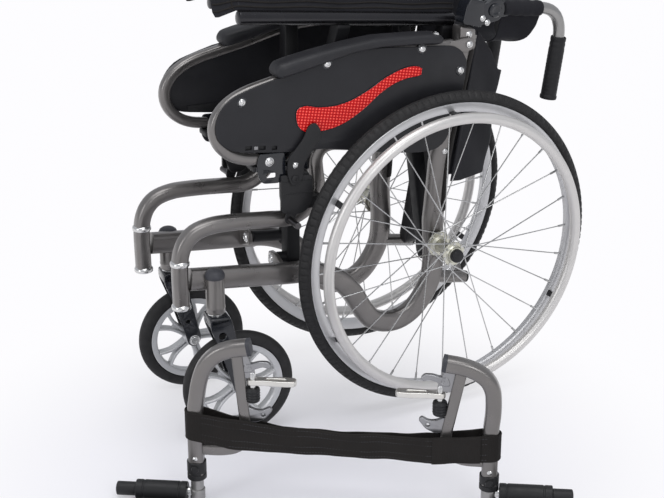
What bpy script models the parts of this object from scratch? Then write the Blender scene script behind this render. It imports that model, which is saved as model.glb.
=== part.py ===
"""Folding wheelchair, shown folded, with its pair of leg supports standing in front.

Axes while building: X across the chair (+X is the chair's left), -Y forwards, Z up.
X = 0 is the mid plane, Y = 0 the rear axle and Z = 0 the floor. Lengths are in millimetres
until MM turns them into metres. Everything hangs from one empty, which is moved at the end
so that the middle of the footprint is the origin.
"""
import bmesh
import bpy
import numpy as np
from math import atan2, cos, pi, radians, sin
from mathutils import Matrix, Vector

MM = 0.001

# Rear wheels
WHEEL_R = 305
WHEEL_X = 152
WHEEL_STEPS = 40
TYRE_DEEP = 29
TYRE_HALF = 13.5
TYRE_SEAT = 0.5
RIM_OUT = WHEEL_R - 21
RIM_IN = RIM_OUT - 18
RIM_HALF = 11
RIM_ROOM = 8
HANDRIM_R = 264
HANDRIM_TUBE = 10
HANDRIM_X = WHEEL_X + 38
SPOKES = 28
AXLE_R = 6

# Casters
CASTER_R = 104
CASTER_HALF = 13
CASTER_X = 112
CASTER_Y = -450
CASTER_TRAIL = 38
CASTER_TURN = -6
HOUSING_R = 17
HOUSING_Z = (253, 326)

# Side frames
FRAME_X = 104
OVAL = (13, 20)
TUBE_R = 14
TOE_IN = radians(1.17)
TOE_Y = -20
SLOPE = radians(7)
UPRIGHT_LEAN = radians(12)
UPRIGHT_TOP = (57.5, 700)
SWAN = [(-491.3, 317.3), (-262, 289.2), (-224, 275.5), (-195, 258), (-171, 231), (-151, 196),
        (-131, 170), (-103, 157), (-73, 156), (-43, 170), (-20, 196), (-4, 229), (1, 273),
        (-2, 348), (8, 463), (32.5, 583), UPRIGHT_TOP]
FRONT = [(-508, 265), (-508, 350), (-504, 372), (-495, 390), (-479, 404), (-448, 412),
         (-401, 411), (-337, 405), (-298, 402), (-272, 411), (-252, 429), (-243, 455),
         (-246, 484), (-247, 504), (-238, 519), (-220, 526), (-9.5, 501)]

# Scissor
HINGE_X = 57
RAIL_X = 62
RAIL_R = 12.5
HINGE_R = 11
HINGE_Z0 = 272
RAIL_Z0 = 722.35
ARM_DEEP = 26
ARM_WIDE = 28

# Upholstery
CLOTH = 2.4
CLOTH_EDGE = 3.4
CLOTH_SEAT = 2.1
RIDGE_EDGE = 4.8
SEAT_HALF = 203.4
BACK_OUTER = 135
BACK_INNER = 99
BACK_VALLEY_X = 40
TOP_QUARTER = 117

# Brakes: the shoe's rod hangs in front of the tyre
SHOE_PIVOT = (-291, 470)
SHOE_Z = 412
SHOE_R = 7
SHOE_GAP = 17.84

# Armrest pivot and back fold
ARM_PIVOT = (53, 684)
FOLD = (108, 739)
CANE_R = 11
CANE_DROP = radians(7.9)

# Leg supports
LEG_BASE = (297, -572)
LEG_ALONG = (0.533, 0.846)
LEG_APART = 499
LEFT_LEG_LIFT = 26
FOOT_DROP = radians(9.5)
LEG_TUBE = 13.5
POST_S = 2.4
BARREL_Z = 17

for old in list(bpy.data.objects):
    bpy.data.objects.remove(old, do_unlink=True)


def scene_object(name, data):
    made = bpy.data.objects.new(name, data)
    bpy.context.scene.collection.objects.link(made)
    return made


def baked(source, name):
    """A plain mesh of what the object shows, in world space, with its normals facing out."""
    bpy.context.view_layer.update()
    graph = bpy.context.evaluated_depsgraph_get()
    mesh = bpy.data.meshes.new_from_object(source.evaluated_get(graph))
    mesh.transform(source.matrix_world)
    bpy.data.objects.remove(source, do_unlink=True)
    mesh.name = name
    tidy(mesh)
    return scene_object(name, mesh)


def tidy(mesh):
    work = bmesh.new()
    work.from_mesh(mesh)
    bmesh.ops.remove_doubles(work, verts=work.verts, dist=2e-6)
    bmesh.ops.recalc_face_normals(work, faces=work.faces)
    if work.calc_volume(signed=True) < 0:
        bmesh.ops.reverse_faces(work, faces=work.faces)
    work.to_mesh(mesh)
    work.free()


def moved(obj, matrix):
    obj.data.transform(matrix)
    tidy(obj.data)
    return obj


def copied(obj, name, matrix):
    made = scene_object(name, obj.data.copy())
    made.data.name = name
    return moved(made, matrix)


def mirrored(obj, name):
    return copied(obj, name, Matrix.Diagonal((-1, 1, 1, 1)))


def columns(origin, x, y, z):
    """The matrix that puts local x, y and z on these directions at this origin, in millimetres."""
    matrix = Matrix.Identity(4)
    for index, axis in enumerate((x, y, z)):
        for row in range(3):
            matrix[row][index] = axis[row]
    for row in range(3):
        matrix[row][3] = origin[row] * MM
    return matrix


def side_plane(x):
    return columns((x, 0, 0), (0, 1, 0), (0, 0, 1), (1, 0, 0))


def frame_plane():
    """The plane of the left side frame, which comes in a little towards the front."""
    about = Matrix.Translation((FRAME_X * MM, TOE_Y * MM, 0))
    return about @ Matrix.Rotation(-TOE_IN, 4, "Z") @ about.inverted() @ side_plane(FRAME_X)


def on_frame(y, z, out=0.0):
    """The point of the left side frame at this distance back and height, moved out by this."""
    return tuple((frame_plane() @ Vector((y * MM, z * MM, out * MM))) / MM)


def facing(origin, along):
    """A frame whose local z runs along a direction."""
    turn = Vector((0, 0, 1)).rotation_difference(Vector(along)).to_matrix().to_4x4()
    return Matrix.Translation(Vector(origin) * MM) @ turn


def eased(points, first, last, steps=2):
    """The points with a Catmull-Rom curve between the first and last of them."""
    rows = [np.array(p, float) for p in points]
    made = rows[:first + 1]
    for i in range(first, last):
        before, start, end, after = (rows[max(i - 1, 0)], rows[i], rows[i + 1],
                                     rows[min(i + 2, len(rows) - 1)])
        for step in range(1, steps + 1):
            t = step / steps
            made.append(0.5 * (2 * start + (end - before) * t
                               + (2 * before - 5 * start + 4 * end - after) * t ** 2
                               + (3 * start - before - 3 * end + after) * t ** 3))
    return [tuple(p) for p in made + rows[last + 1:]]


def poly_curve(name, points, closed=False):
    curve = bpy.data.curves.new(name, "CURVE")
    spline = curve.splines.new("POLY")
    spline.points.add(len(points) - 1)
    for point, co in zip(spline.points, points):
        point.co = (*[value * MM for value in co], 0, 1)[:3] + (1,) if len(co) == 2 else (
            co[0] * MM, co[1] * MM, co[2] * MM, 1)
    spline.use_cyclic_u = closed
    return curve


def tube(name, points, radius, place=None, sides=2):
    """A round tube along 2D points of a plane, or along 3D points."""
    curve = poly_curve(name, points)
    curve.dimensions = "3D"
    curve.twist_mode = "MINIMUM"
    curve.bevel_depth = radius * MM
    curve.bevel_resolution = sides
    curve.use_fill_caps = True
    made = scene_object(name, curve)
    made.matrix_world = place or Matrix.Identity(4)
    return baked(made, name)


def oval_tube(name, points, half_x, half_in_plane, place):
    ring = [(half_in_plane * cos(a), half_x * sin(a)) for a in np.linspace(0, 2 * pi, 13)[:-1]]
    section = scene_object(name + "_section", poly_curve(name + "_section", ring, True))
    section.data.dimensions = "2D"
    curve = poly_curve(name, points)
    curve.dimensions = "2D"
    curve.bevel_mode = "OBJECT"
    curve.bevel_object = section
    curve.use_fill_caps = True
    made = scene_object(name, curve)
    made.matrix_world = place
    made = baked(made, name)
    bpy.data.objects.remove(section, do_unlink=True)
    return made


def plate(name, outline, thickness, place, holes=()):
    """A flat plate of this outline in the local XY plane, half its thickness each way."""
    curve = poly_curve(name, outline, True)
    curve.dimensions = "2D"
    for hole in holes:
        spline = curve.splines.new("POLY")
        spline.points.add(len(hole) - 1)
        for point, co in zip(spline.points, hole):
            point.co = (co[0] * MM, co[1] * MM, 0, 1)
        spline.use_cyclic_u = True
    curve.fill_mode = "BOTH"
    curve.extrude = thickness / 2 * MM
    made = scene_object(name, curve)
    made.matrix_world = place
    return baked(made, name)


def circle(centre, radius, steps=12, start=0.0):
    return [(centre[0] + radius * cos(start + 2 * pi * i / steps),
             centre[1] + radius * sin(start + 2 * pi * i / steps)) for i in range(steps)]


def turned(name, profile, steps, place, closed=False):
    """A profile of (radius, height) pairs turned round the local z axis."""
    mesh = bpy.data.meshes.new(name)
    edges = [(i, i + 1) for i in range(len(profile) - 1)]
    if closed:
        edges.append((len(profile) - 1, 0))
    mesh.from_pydata([(r * MM, 0, z * MM) for r, z in profile], edges, [])
    made = scene_object(name, mesh)
    screw = made.modifiers.new("turn", "SCREW")
    screw.steps = steps
    screw.render_steps = steps
    screw.use_merge_vertices = True
    screw.merge_threshold = 1e-5
    screw.use_smooth_shade = False
    made.matrix_world = place
    return baked(made, name)


def rod(name, radius, start, end, place=None, steps=10):
    """A cylinder between two points."""
    start, end = Vector(start), Vector(end)
    long = (end - start).length
    frame = facing(start, (end - start).normalized())
    profile = [(0, 0), (radius, 0), (radius, long), (0, long)]
    return turned(name, profile, steps, (place or Matrix.Identity(4)) @ frame)


def box(name, low, high, place=None, bevel=0.0):
    x0, y0, z0 = (value * MM for value in low)
    x1, y1, z1 = (value * MM for value in high)
    corners = [(x0, y0, z0), (x1, y0, z0), (x1, y1, z0), (x0, y1, z0),
               (x0, y0, z1), (x1, y0, z1), (x1, y1, z1), (x0, y1, z1)]
    faces = [(0, 3, 2, 1), (4, 5, 6, 7), (0, 1, 5, 4), (1, 2, 6, 5), (2, 3, 7, 6), (3, 0, 4, 7)]
    mesh = bpy.data.meshes.new(name)
    mesh.from_pydata(corners, [], faces)
    made = scene_object(name, mesh)
    if bevel:
        softened = made.modifiers.new("edges", "BEVEL")
        softened.width = bevel * MM
        softened.segments = 1
    made.matrix_world = place or Matrix.Identity(4)
    return baked(made, name)


def combined(base, others, operation):
    group = bpy.data.collections.new(base.name + "_others")
    bpy.context.scene.collection.children.link(group)
    for other in others:
        bpy.context.scene.collection.objects.unlink(other)
        group.objects.link(other)
    step = base.modifiers.new("combine", "BOOLEAN")
    step.operation = operation
    step.solver = "EXACT"
    step.operand_type = "COLLECTION"
    step.collection = group
    name = base.name
    made = baked(base, name)
    for other in list(group.objects):
        bpy.data.objects.remove(other, do_unlink=True)
    bpy.data.collections.remove(group)
    made.name = name
    return made


def fused(name, pieces):
    pieces[0].name = name
    return combined(pieces[0], pieces[1:], "UNION")


def cut(base, cutters):
    return combined(base, cutters, "DIFFERENCE")


def hinge_z(y):
    return HINGE_Z0 - np.tan(SLOPE) * y


def rail_z(y):
    return RAIL_Z0 - np.tan(SLOPE) * y


def upright_y(z):
    return float(np.interp(z, [p[1] for p in SWAN[12:]], [p[0] for p in SWAN[12:]]))


AXIS_T = Vector((0, cos(SLOPE), -sin(SLOPE)))
parts = {}

# Side frames: one bent oval tube, with the caster housing, axle, rear stub and hinge lugs.
swan = oval_tube("swan_tube", eased(SWAN, 1, 11), *OVAL, frame_plane())
housing_profile = [(0, HOUSING_Z[0]), (HOUSING_R, HOUSING_Z[0]), (HOUSING_R, HOUSING_Z[1]),
                   (HOUSING_R + 1, HOUSING_Z[1] + 1), (HOUSING_R, HOUSING_Z[1] + 4),
                   (11, HOUSING_Z[1] + 8.5), (0, HOUSING_Z[1] + 10)]
housing = turned("caster_housing", housing_profile, 14,
                 Matrix.Translation((CASTER_X * MM, CASTER_Y * MM, 0)))
stub = rod("rear_stub", 12, (FRAME_X, 0, 229.8), (FRAME_X, 71, 216.1))
stub_plug = rod("rear_stub_plug", 10, (FRAME_X, 60, 218.2), (FRAME_X, 77, 214.9))
boss = rod("axle_boss", 15, (108, 0, WHEEL_R), (121, 0, WHEEL_R))
axle_profile = [(0, 110), (AXLE_R, 110), (AXLE_R, 190.5), (12, 190.5), (12, 196), (9, 199), (0, 199)]
axle = turned("axle", axle_profile, 12, facing((0, 0, WHEEL_R), (1, 0, 0)))
front_lug = plate("front_lug", [(42, hinge_z(-311) - 12), (94, 283), (98, 313),
                                (70, hinge_z(-311) + 14), (46, hinge_z(-311) + 12)], 8,
                  columns((0, -311, 0), (1, 0, 0), (0, 0, 1), (0, -1, 0)))
rear_lug = plate("rear_lug", [(45, hinge_z(64) - 12), (97, 211), (109, 222), (100, 232),
                              (70, hinge_z(64) + 12), (48, hinge_z(64) + 12)], 8,
                 columns((0, 64, 0), (1, 0, 0), (0, 0, 1), (0, -1, 0)))
front_pin = rod("front_hinge_pin", 6, (HINGE_X, -311, hinge_z(-311)),
                (HINGE_X, -288, hinge_z(-288)))
rear_pin = rod("rear_hinge_pin", 6, (HINGE_X, 42, hinge_z(42)), (HINGE_X, 64, hinge_z(64)))
pivot_stud = rod("armrest_pivot_stud", 5, (110, *ARM_PIVOT), (127, *ARM_PIVOT))
side = fused("left_side_frame", [swan, housing, stub, stub_plug, boss, axle, front_lug, rear_lug,
                                 front_pin, rear_pin, pivot_stud])
side = cut(side, [rod("stem_bore", 8.5, (CASTER_X, CASTER_Y, 245), (CASTER_X, CASTER_Y, 290))])
parts["side_frame"] = side

# Front frames: the post for the leg support, the bent front tube and the upper rail.
front_tube = tube("front_tube", FRONT, TUBE_R, frame_plane())
collars = [rod("post_ring_low", 17.5, on_frame(-508, 271), on_frame(-508, 274)),
           rod("post_ring_high", 17.5, on_frame(-508, 348), on_frame(-508, 351))]
bracket = plate("armrest_bracket", [(-362, 512), (-337, 511), (-258, 488), (-240, 497),
                                    (-250, 520), (-340, 541), (-362, 538)], 7, frame_plane())
arm_stop = box("armrest_stop", (90, -376, 507), (123, -352, 517.7))
front = fused("left_front_frame", [front_tube, *collars, bracket, arm_stop])
parts["front_frame"] = front

# Casters, built at the origin of their swivel axis with the wheel trailing along +Y.
blade = [(-17, 249), (21, 249), (27, 225), (40, 160), (52, 110), (46, 94), (36, 90), (26, 96),
         (22, 112), (2, 180), (-16, 228)]
blade_holes = [circle((5, 214), 7, 8), circle((18, 176), 6, 8), circle((27, 144), 5, 8)]
cheeks = [plate("fork_cheek", blade, 5, side_plane(x), blade_holes) for x in (-20.5, 20.5)]
crown = box("fork_crown", (-23, -17, 230), (23, 21, 249.5), bevel=2)
stem = rod("fork_stem", 8, (0, 0, 240), (0, 0, 287))
collar = rod("fork_collar", 14, (0, 0, 248), (0, 0, 252.5))
spindle = rod("fork_spindle", 5, (-26, CASTER_TRAIL, CASTER_R), (26, CASTER_TRAIL, CASTER_R))
nuts = [rod("fork_nut", 9, (x, CASTER_TRAIL, CASTER_R), (x + 5 * np.sign(x), CASTER_TRAIL, CASTER_R),
            steps=6) for x in (-22, 22)]
fork = fused("caster_fork", [crown, *cheeks, stem, collar, spindle, *nuts])
wheel_axis = facing((0, CASTER_TRAIL, CASTER_R), (1, 0, 0))
hub = turned("caster_hub", [(5.5, -17), (14, -17), (16, -12), (16, 12), (14, 17), (5.5, 17)], 12,
             wheel_axis, closed=True)
rim = turned("caster_rim", [(70, -7), (82, -11), (80, -8.5), (80, 8.5), (82, 11), (70, 7)], 24,
             wheel_axis, closed=True)
arms = []
for i in range(5):
    turn = Matrix.Rotation(2 * pi * i / 5 + 0.31, 4, "Z")
    arms.append(plate("caster_arm", [(10, -9), (72, -6), (72, 6), (10, 9)], 12, wheel_axis @ turn))
caster_wheel = fused("caster_wheel", [rim, hub, *arms])
caster_tyre = turned("caster_tyre", [(80.4, -8.1), (82.5, -8.1), (84, -12), (90, -CASTER_HALF),
                                     (100, -9.5), (CASTER_R, -3), (CASTER_R, 3), (100, 9.5),
                                     (90, CASTER_HALF), (84, 12), (82.5, 8.1), (80.4, 8.1)],
                     24, wheel_axis, closed=True)
for word, x in (("left", CASTER_X), ("right", -CASTER_X)):
    swivel = Matrix.Translation((x * MM, CASTER_Y * MM, 0)) @ Matrix.Rotation(
        radians(CASTER_TURN), 4, "Z")
    for piece in (fork, caster_wheel, caster_tyre):
        copied(piece, f"{word}_{piece.name}", swivel)
for piece in (fork, caster_wheel, caster_tyre):
    bpy.data.objects.remove(piece, do_unlink=True)

# Rear wheels, turned round the axle.
wheel_place = facing((WHEEL_X, 0, WHEEL_R), (1, 0, 0))
TYRE_FOOT = RIM_ROOM - 0.4
rim_bed = WHEEL_R - TYRE_DEEP - TYRE_SEAT
parts["rear_tyre"] = turned("left_rear_tyre", [
    (WHEEL_R - TYRE_DEEP, -TYRE_FOOT), (RIM_OUT + TYRE_SEAT, -TYRE_FOOT),
    (WHEEL_R - 15, -TYRE_HALF), (WHEEL_R - 5, -10), (WHEEL_R, -2.5), (WHEEL_R, 2.5),
    (WHEEL_R - 5, 10), (WHEEL_R - 15, TYRE_HALF), (RIM_OUT + TYRE_SEAT, TYRE_FOOT),
    (WHEEL_R - TYRE_DEEP, TYRE_FOOT)], WHEEL_STEPS, wheel_place, closed=True)
parts["rear_rim"] = turned("left_rear_rim", [
    (RIM_OUT, -RIM_HALF), (RIM_OUT, -RIM_ROOM), (rim_bed, -RIM_ROOM), (rim_bed, RIM_ROOM),
    (RIM_OUT, RIM_ROOM), (RIM_OUT, RIM_HALF), (RIM_IN, 6), (RIM_IN, -6)],
    WHEEL_STEPS, wheel_place, closed=True)
hoop_out = HANDRIM_X - WHEEL_X
ring = turned("hoop", [(HANDRIM_R + HANDRIM_TUBE * cos(a), hoop_out + HANDRIM_TUBE * sin(a))
                       for a in np.linspace(0, 2 * pi, 9)[:-1]], WHEEL_STEPS, wheel_place, closed=True)
upright_plane = columns((0, 0, 0), (1, 0, 0), (0, 0, 1), (0, -1, 0))
tabs = []
for i in range(6):
    turn = Matrix.Rotation(2 * pi * (i + 0.5) / 6 + pi / 2, 4, "Z")
    tab = [(RIM_IN, 7.8), (RIM_IN + 5, 7.8), (HANDRIM_R + 7, hoop_out - 2), (HANDRIM_R + 2, hoop_out - 2)]
    tabs.append(plate("hoop_tab", tab, 16, wheel_place @ turn @ upright_plane))
parts["handrim"] = fused("left_handrim", [ring, *tabs])
hub = turned("hub", [(AXLE_R + 0.6, 122), (17, 122), (24, 124), (24, 127), (12, 131), (12, 175),
                     (23, 178), (23, 181), (15, 184), (15, 190), (AXLE_R + 0.6, 190)], 16,
             facing((0, 0, WHEEL_R), (1, 0, 0)), closed=True)
spokes = []
spoke_r = RIM_IN - 1.4
for i in range(SPOKES):
    outer = i % 2
    x = 179.5 if outer else 125.5
    lead = 1 if (i // 2) % 2 else -1
    x += 1.6 * lead
    hole = 2 * pi * i / SPOKES
    rim_angle = 2 * pi * (i + 6 * lead) / SPOKES
    start = (x, 20 * cos(hole), WHEEL_R + 20 * sin(hole))
    end = (WHEEL_X, spoke_r * cos(rim_angle), WHEEL_R + spoke_r * sin(rim_angle))
    spokes.append(rod("spoke", 1.3, start, end, steps=3))
parts["hub_and_spokes"] = fused("left_hub_and_spokes", [hub, *spokes])

# Back hinge on top of the upright, with cheeks each side of the folding cane.
top_y, top_z = UPRIGHT_TOP
lean = Vector((sin(UPRIGHT_LEAN), cos(UPRIGHT_LEAN)))
across = Vector((cos(UPRIGHT_LEAN), -sin(UPRIGHT_LEAN)))
seat_of = Vector((top_y, top_z))


def on_upright(side_way, up):
    point = seat_of + across * side_way + lean * up
    return (point.x, point.y)


sleeve = plate("hinge_sleeve", [on_upright(-21, 0.8), on_upright(21, 0.8), on_upright(22, 30),
                                on_upright(19, 66), on_upright(-14, 66), on_upright(-19, 50)],
               33, side_plane(FRAME_X))
ears = [plate("hinge_ear", [on_upright(0, 10), *circle(FOLD, 21, 16)[10:], *circle(FOLD, 21, 16)[:6],
                            on_upright(0, 52)], 7.5, side_plane(x)) for x in (91.5, 116.5)]
jaw = cut(fused("hinge_jaw", [sleeve, *ears]), [box("sleeve_notch", (95.2, 85, 700), (112.8, 135, 790))])
fold_pin = rod("fold_pin", 5, (90, *FOLD), (118, *FOLD))
parts["back_hinge"] = fused("left_back_hinge", [jaw, fold_pin])

# Folding push handles.
CANE = [(133, 738), (223, 727), (240, 721), (253, 709), (260, 692), (261.5, 672), (257, 640)]
tongue = plate("cane_tongue", [*circle(FOLD, 18, 16)[4:13], (140, 722), (152, 728), (152, 744),
                               (128, 755)], 15, side_plane(FRAME_X), [circle(FOLD, 5.6, 12)])
cane = tube("cane", eased(CANE, 1, 5, 1), CANE_R, side_plane(FRAME_X))
parts["push_handle"] = fused("left_push_handle", [cane, tongue])
grip_line = (Vector((FRAME_X, 261.9, 668)), Vector((FRAME_X, 244.8, 549)))
grip = rod("left_push_grip", 15.5, *grip_line, steps=14)
grip = cut(grip, [tube("grip_bore", [(FRAME_X, 262.9, 681), (FRAME_X, 261.5, 672),
                                     (FRAME_X, 256.4, 634)], CANE_R + 1.2)])
parts["push_grip"] = grip

# Armrests: bent tube with a pivot plate, pad and side panel with its reflector.
ARM_X = 115
ARM = [(22, 685), (-19, 685.5), (-130, 695), (-190, 693), (-241, 682.5), (-279, 673.5), (-337, 662),
       (-383, 652), (-412, 640), (-431, 625), (-443, 605), (-444, 582), (-434, 560), (-415, 543),
       (-392, 533), (-364.5, 528)]
loop = tube("arm_loop", ARM, 10, side_plane(ARM_X))
pivot_plate = plate("arm_pivot_plate", [(14, 677), (40, 672), *circle(ARM_PIVOT, 12, 12)[9:],
                                        *circle(ARM_PIVOT, 12, 12)[:4], (40, 696), (14, 693)],
                    4, side_plane(123), [circle(ARM_PIVOT, 5.6, 10)])
parts["armrest_tube"] = fused("left_armrest_tube", [loop, pivot_plate])
pad_outline = [(-341, 676), (-279, 684.6), (-241, 693.8), (-190, 704.4), (-130, 706), (-19, 697),
               (-7, 698), (-3, 705), (-9, 712), (-60, 716), (-140, 721), (-200, 716), (-260, 708),
               (-301, 701), (-330, 697), (-344, 690), (-346, 682)]
pad = plate("left_arm_pad", pad_outline, 46, side_plane(ARM_X))
softened = pad.modifiers.new("edges", "BEVEL")
softened.width = 5 * MM
softened.segments = 1
softened.limit_method = "ANGLE"
softened.angle_limit = radians(60)
parts["arm_pad"] = baked(pad, "left_arm_pad")
PANEL = [(-343, 670), (-381, 660), (-418, 647), (-439, 625), (-447, 598), (-441, 576), (-427, 560),
         (-406, 549), (-364, 541), (-248, 539), (-10, 501), (18, 532), (37, 590), (45, 634),
         (46, 657), (38, 672), (21, 684), (-11, 690), (-60, 694.5), (-130, 701), (-190, 700),
         (-241, 689), (-279, 680)]
parts["side_panel"] = plate("left_side_panel", PANEL, 4, side_plane(127.4))
WAVE = [(-297, 598), (-295, 612), (-282, 617), (-254, 611), (-221, 609), (-188, 615), (-152, 630),
        (-122, 646), (-92, 657), (-64, 660), (-48, 654), (-49, 643), (-76, 640), (-102, 634),
        (-132, 619), (-162, 597), (-192, 580), (-221, 570), (-254, 567), (-280, 570), (-293, 582)]
parts["reflector"] = plate("left_reflector", WAVE, 1.6, side_plane(130.6))

# Brakes.
body = plate("brake_box", [(-326, 503), (-270, 495), (-268, 462), (-280, 430), (-290, 418),
                           (-316, 419), (-326, 450)], 9, side_plane(123))
upper_stud = rod("lever_stud", 5, (120, -303, 489), (137.5, -303, 489))
lower_stud = rod("shoe_stud", 4, (120, *SHOE_PIVOT), (132.5, *SHOE_PIVOT))
clamp = box("brake_clamp", (113.7, -278, 424), (127, -246, 448))
parts["brake_body"] = fused("left_brake_body", [body, clamp, upper_stud, lower_stud])
lever = plate("left_brake_lever", [(-310, 476), (-296, 476), (-287, 490), (-285, 515), (-268, 536),
                                   (-251, 552), (-252, 575), (-267, 588), (-281, 571), (-293, 550),
                                   (-316, 528), (-318, 500)], 4, side_plane(135.7),
              [circle((-303, 489), 5.6, 10)])
parts["brake_lever"] = lever
shoe_y = -np.sqrt((WHEEL_R + SHOE_GAP + SHOE_R) ** 2 - (SHOE_Z - WHEEL_R) ** 2)
arm_y, arm_z = SHOE_PIVOT
shoe_arm = plate("shoe_arm", [(arm_y - 9, arm_z + 8), (arm_y + 9, arm_z + 8), (arm_y + 7, arm_z - 8),
                              (shoe_y + 9, SHOE_Z - 6), (shoe_y, SHOE_Z - 10),
                              (shoe_y - 9, SHOE_Z - 4), (shoe_y - 8, SHOE_Z + 6)],
                 4, side_plane(130.2), [circle(SHOE_PIVOT, 4.6, 10)])
shoe_rod = rod("shoe_rod", SHOE_R, (129, shoe_y, SHOE_Z), (WHEEL_X + 16, shoe_y, SHOE_Z))
parts["brake_shoe"] = fused("left_brake_shoe", [shoe_arm, shoe_rod])

for key, piece in parts.items():
    mirrored(piece, f"right_{key}")

# Scissor: each brace has two hinge barrels below, a seat rail above and two flat arms.
WAY_UP = Vector((0, sin(SLOPE), cos(SLOPE)))


def flat_arm(name, foot, head, width, tail):
    """A flat bar from below its hinge to the seat rail, facing along Y as far as it leans."""
    foot, head = Vector(foot), Vector(head)
    up = (head - foot).normalized()
    face = Vector((0, 1, 0))
    face = (face - up * face.dot(up)).normalized()
    wide = up.cross(face)
    long = (head - foot).length
    half = width / 2
    outline = [(half, long), (-half, long), (-half, -tail + half * 0.8), (-half * 0.55, -tail),
               (half * 0.55, -tail), (half, -tail + half * 0.8)]
    return plate(name, outline, ARM_DEEP, columns(foot, wide, up, face * -1))


CROSS = HINGE_X / (HINGE_X + RAIL_X)
braces = {}
for word, sign in (("brace_a", 1), ("brace_b", -1)):
    low = [(sign * HINGE_X, y, hinge_z(y)) for y in (-302, 55)]
    high = [(-sign * RAIL_X, y, rail_z(y)) for y in (-375, 55)]
    rail = rod("seat_rail", RAIL_R, *high, steps=16)
    front_y, front_top, rear_y = (-275, -218, 11) if word == "brace_a" else (-229, -172, 41.8)
    front_arm = flat_arm("front_arm", (low[0][0], front_y, hinge_z(front_y)),
                         (high[0][0], front_top, rail_z(front_top)), ARM_WIDE, 18)
    rear_arm = flat_arm("rear_arm", (low[0][0], rear_y, hinge_z(rear_y)),
                        (high[0][0], rear_y, rail_z(rear_y)), ARM_WIDE, 20 if word == "brace_a" else 34)
    foot_half = ARM_DEEP / 2
    barrels = [rod("hinge_barrel", HINGE_R, (low[0][0], first, hinge_z(first)),
                   (low[0][0], last, hinge_z(last)), steps=14)
               for first, last in ((low[0][1], front_y + foot_half), (rear_y - foot_half, low[1][1]))]
    braces[word] = (barrels, rail, front_arm, rear_arm, low)


def on_cross_axis(y):
    return (0, y, hinge_z(y) + CROSS * (RAIL_Z0 - HINGE_Z0))


for word in ("brace_a", "brace_b"):
    barrels, rail, front_arm, rear_arm, low = braces[word]
    pieces = [rail, *barrels, front_arm, rear_arm]
    if word == "brace_a":
        for first, last in ((-260, -181), (14, 58)):
            pieces.append(rod("cross_bolt", 8, on_cross_axis(first), on_cross_axis(last)))
            pieces.append(rod("cross_head", 13, on_cross_axis(last - 1.5), on_cross_axis(last + 4)))
    else:
        foot = Vector((-HINGE_X, 52, hinge_z(52)))
        head = Vector((RAIL_X, 52, rail_z(52)))
        eye = foot.lerp(head, 0.405)
        pieces.append(rod("link_eye", 13, eye - Vector((0, 19, 0)), eye + Vector((0, 4, 0))))
    made = fused(word, pieces)
    cutters = []
    for y, way in ((low[0][1], -1), (low[1][1], 1)):
        x = low[0][0]
        inside = y - way * 17
        outside = y + way * 6
        cutters.append(rod("pin_bore", 6.5, (x, inside, hinge_z(inside)), (x, outside, hinge_z(outside))))
    if word == "brace_b":
        for first, last in ((-235, -172), (20, 60)):
            cutters.append(rod("bolt_bore", 9, on_cross_axis(first), on_cross_axis(last)))
    cut(made, cutters)

# Seat cloth: two halves, each on its own rail, meeting in a ridge.
ridge = np.sqrt(SEAT_HALF ** 2 - RAIL_X ** 2)
for word, sign in (("left", 1), ("right", -1)):
    out = Vector((-sign * RAIL_X, 0, 0)) + WAY_UP * ridge
    out.normalize()
    face = out.cross(AXIS_T)
    start = Vector((sign * RAIL_X, 0, RAIL_Z0))
    plate(f"{word}_seat_cloth", [(-368, RAIL_R + 0.6), (50, RAIL_R + 0.6), (50, SEAT_HALF - RIDGE_EDGE),
                                 (-368, SEAT_HALF - RIDGE_EDGE)], CLOTH,
          columns(start, AXIS_T, out, AXIS_T.cross(out)))

# Back cloth below the hinges: hung from the uprights, folded in a W.
BACK_LEAN = atan2(58, 337)
back_up = Vector((0, sin(BACK_LEAN), cos(BACK_LEAN)))
back_out = Vector((0, cos(BACK_LEAN), -sin(BACK_LEAN)))
back_low = Vector((FRAME_X, 54, 540))
outer_depth = np.sqrt(BACK_OUTER ** 2 - (FRAME_X - BACK_VALLEY_X) ** 2)
inner_depth = np.sqrt(BACK_INNER ** 2 - BACK_VALLEY_X ** 2)
hang_way = Vector((-(FRAME_X - BACK_VALLEY_X), outer_depth)) / BACK_OUTER


def to_upright(height):
    """How far the cloth's edge reaches past its hinge line, up to the upright's surface."""
    behind = back_low.y + sin(BACK_LEAN) * height - upright_y(back_low.z + cos(BACK_LEAN) * height)
    across_way, back_way = -hang_way.x / OVAL[0], -hang_way.y / (OVAL[1] / cos(UPRIGHT_LEAN))
    start = behind / (OVAL[1] / cos(UPRIGHT_LEAN))
    square = across_way ** 2 + back_way ** 2
    half = start * back_way
    return (-half - np.sqrt(half ** 2 - square * (start ** 2 - 1))) / square - CLOTH_SEAT


for word, sign in (("left", 1), ("right", -1)):
    hang = Vector((sign * back_low.x, back_low.y, back_low.z))
    valley = hang + Vector((-sign * (FRAME_X - BACK_VALLEY_X), 0, 0)) + back_out * outer_depth
    middle = valley + Vector((-sign * BACK_VALLEY_X, 0, 0)) - back_out * inner_depth
    for name, start, end, high, end_high in (("back_cloth_outer", hang, valley, 166, 84),
                                             ("back_cloth_inner", valley, middle, 84, 146)):
        way = (end - start).normalized()
        long = (end - start).length
        edge = [(CLOTH_EDGE, high), (CLOTH_EDGE, -175)]
        if name == "back_cloth_outer":
            edge[1:1] = [(-to_upright(150), 150), (-to_upright(95), 95), (CLOTH_EDGE, 40)]
        plate(f"{word}_{name}", [*edge, (long - CLOTH_EDGE, -175), (long - CLOTH_EDGE, end_high)],
              CLOTH, columns(start, way, back_up, way.cross(back_up)))

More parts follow.
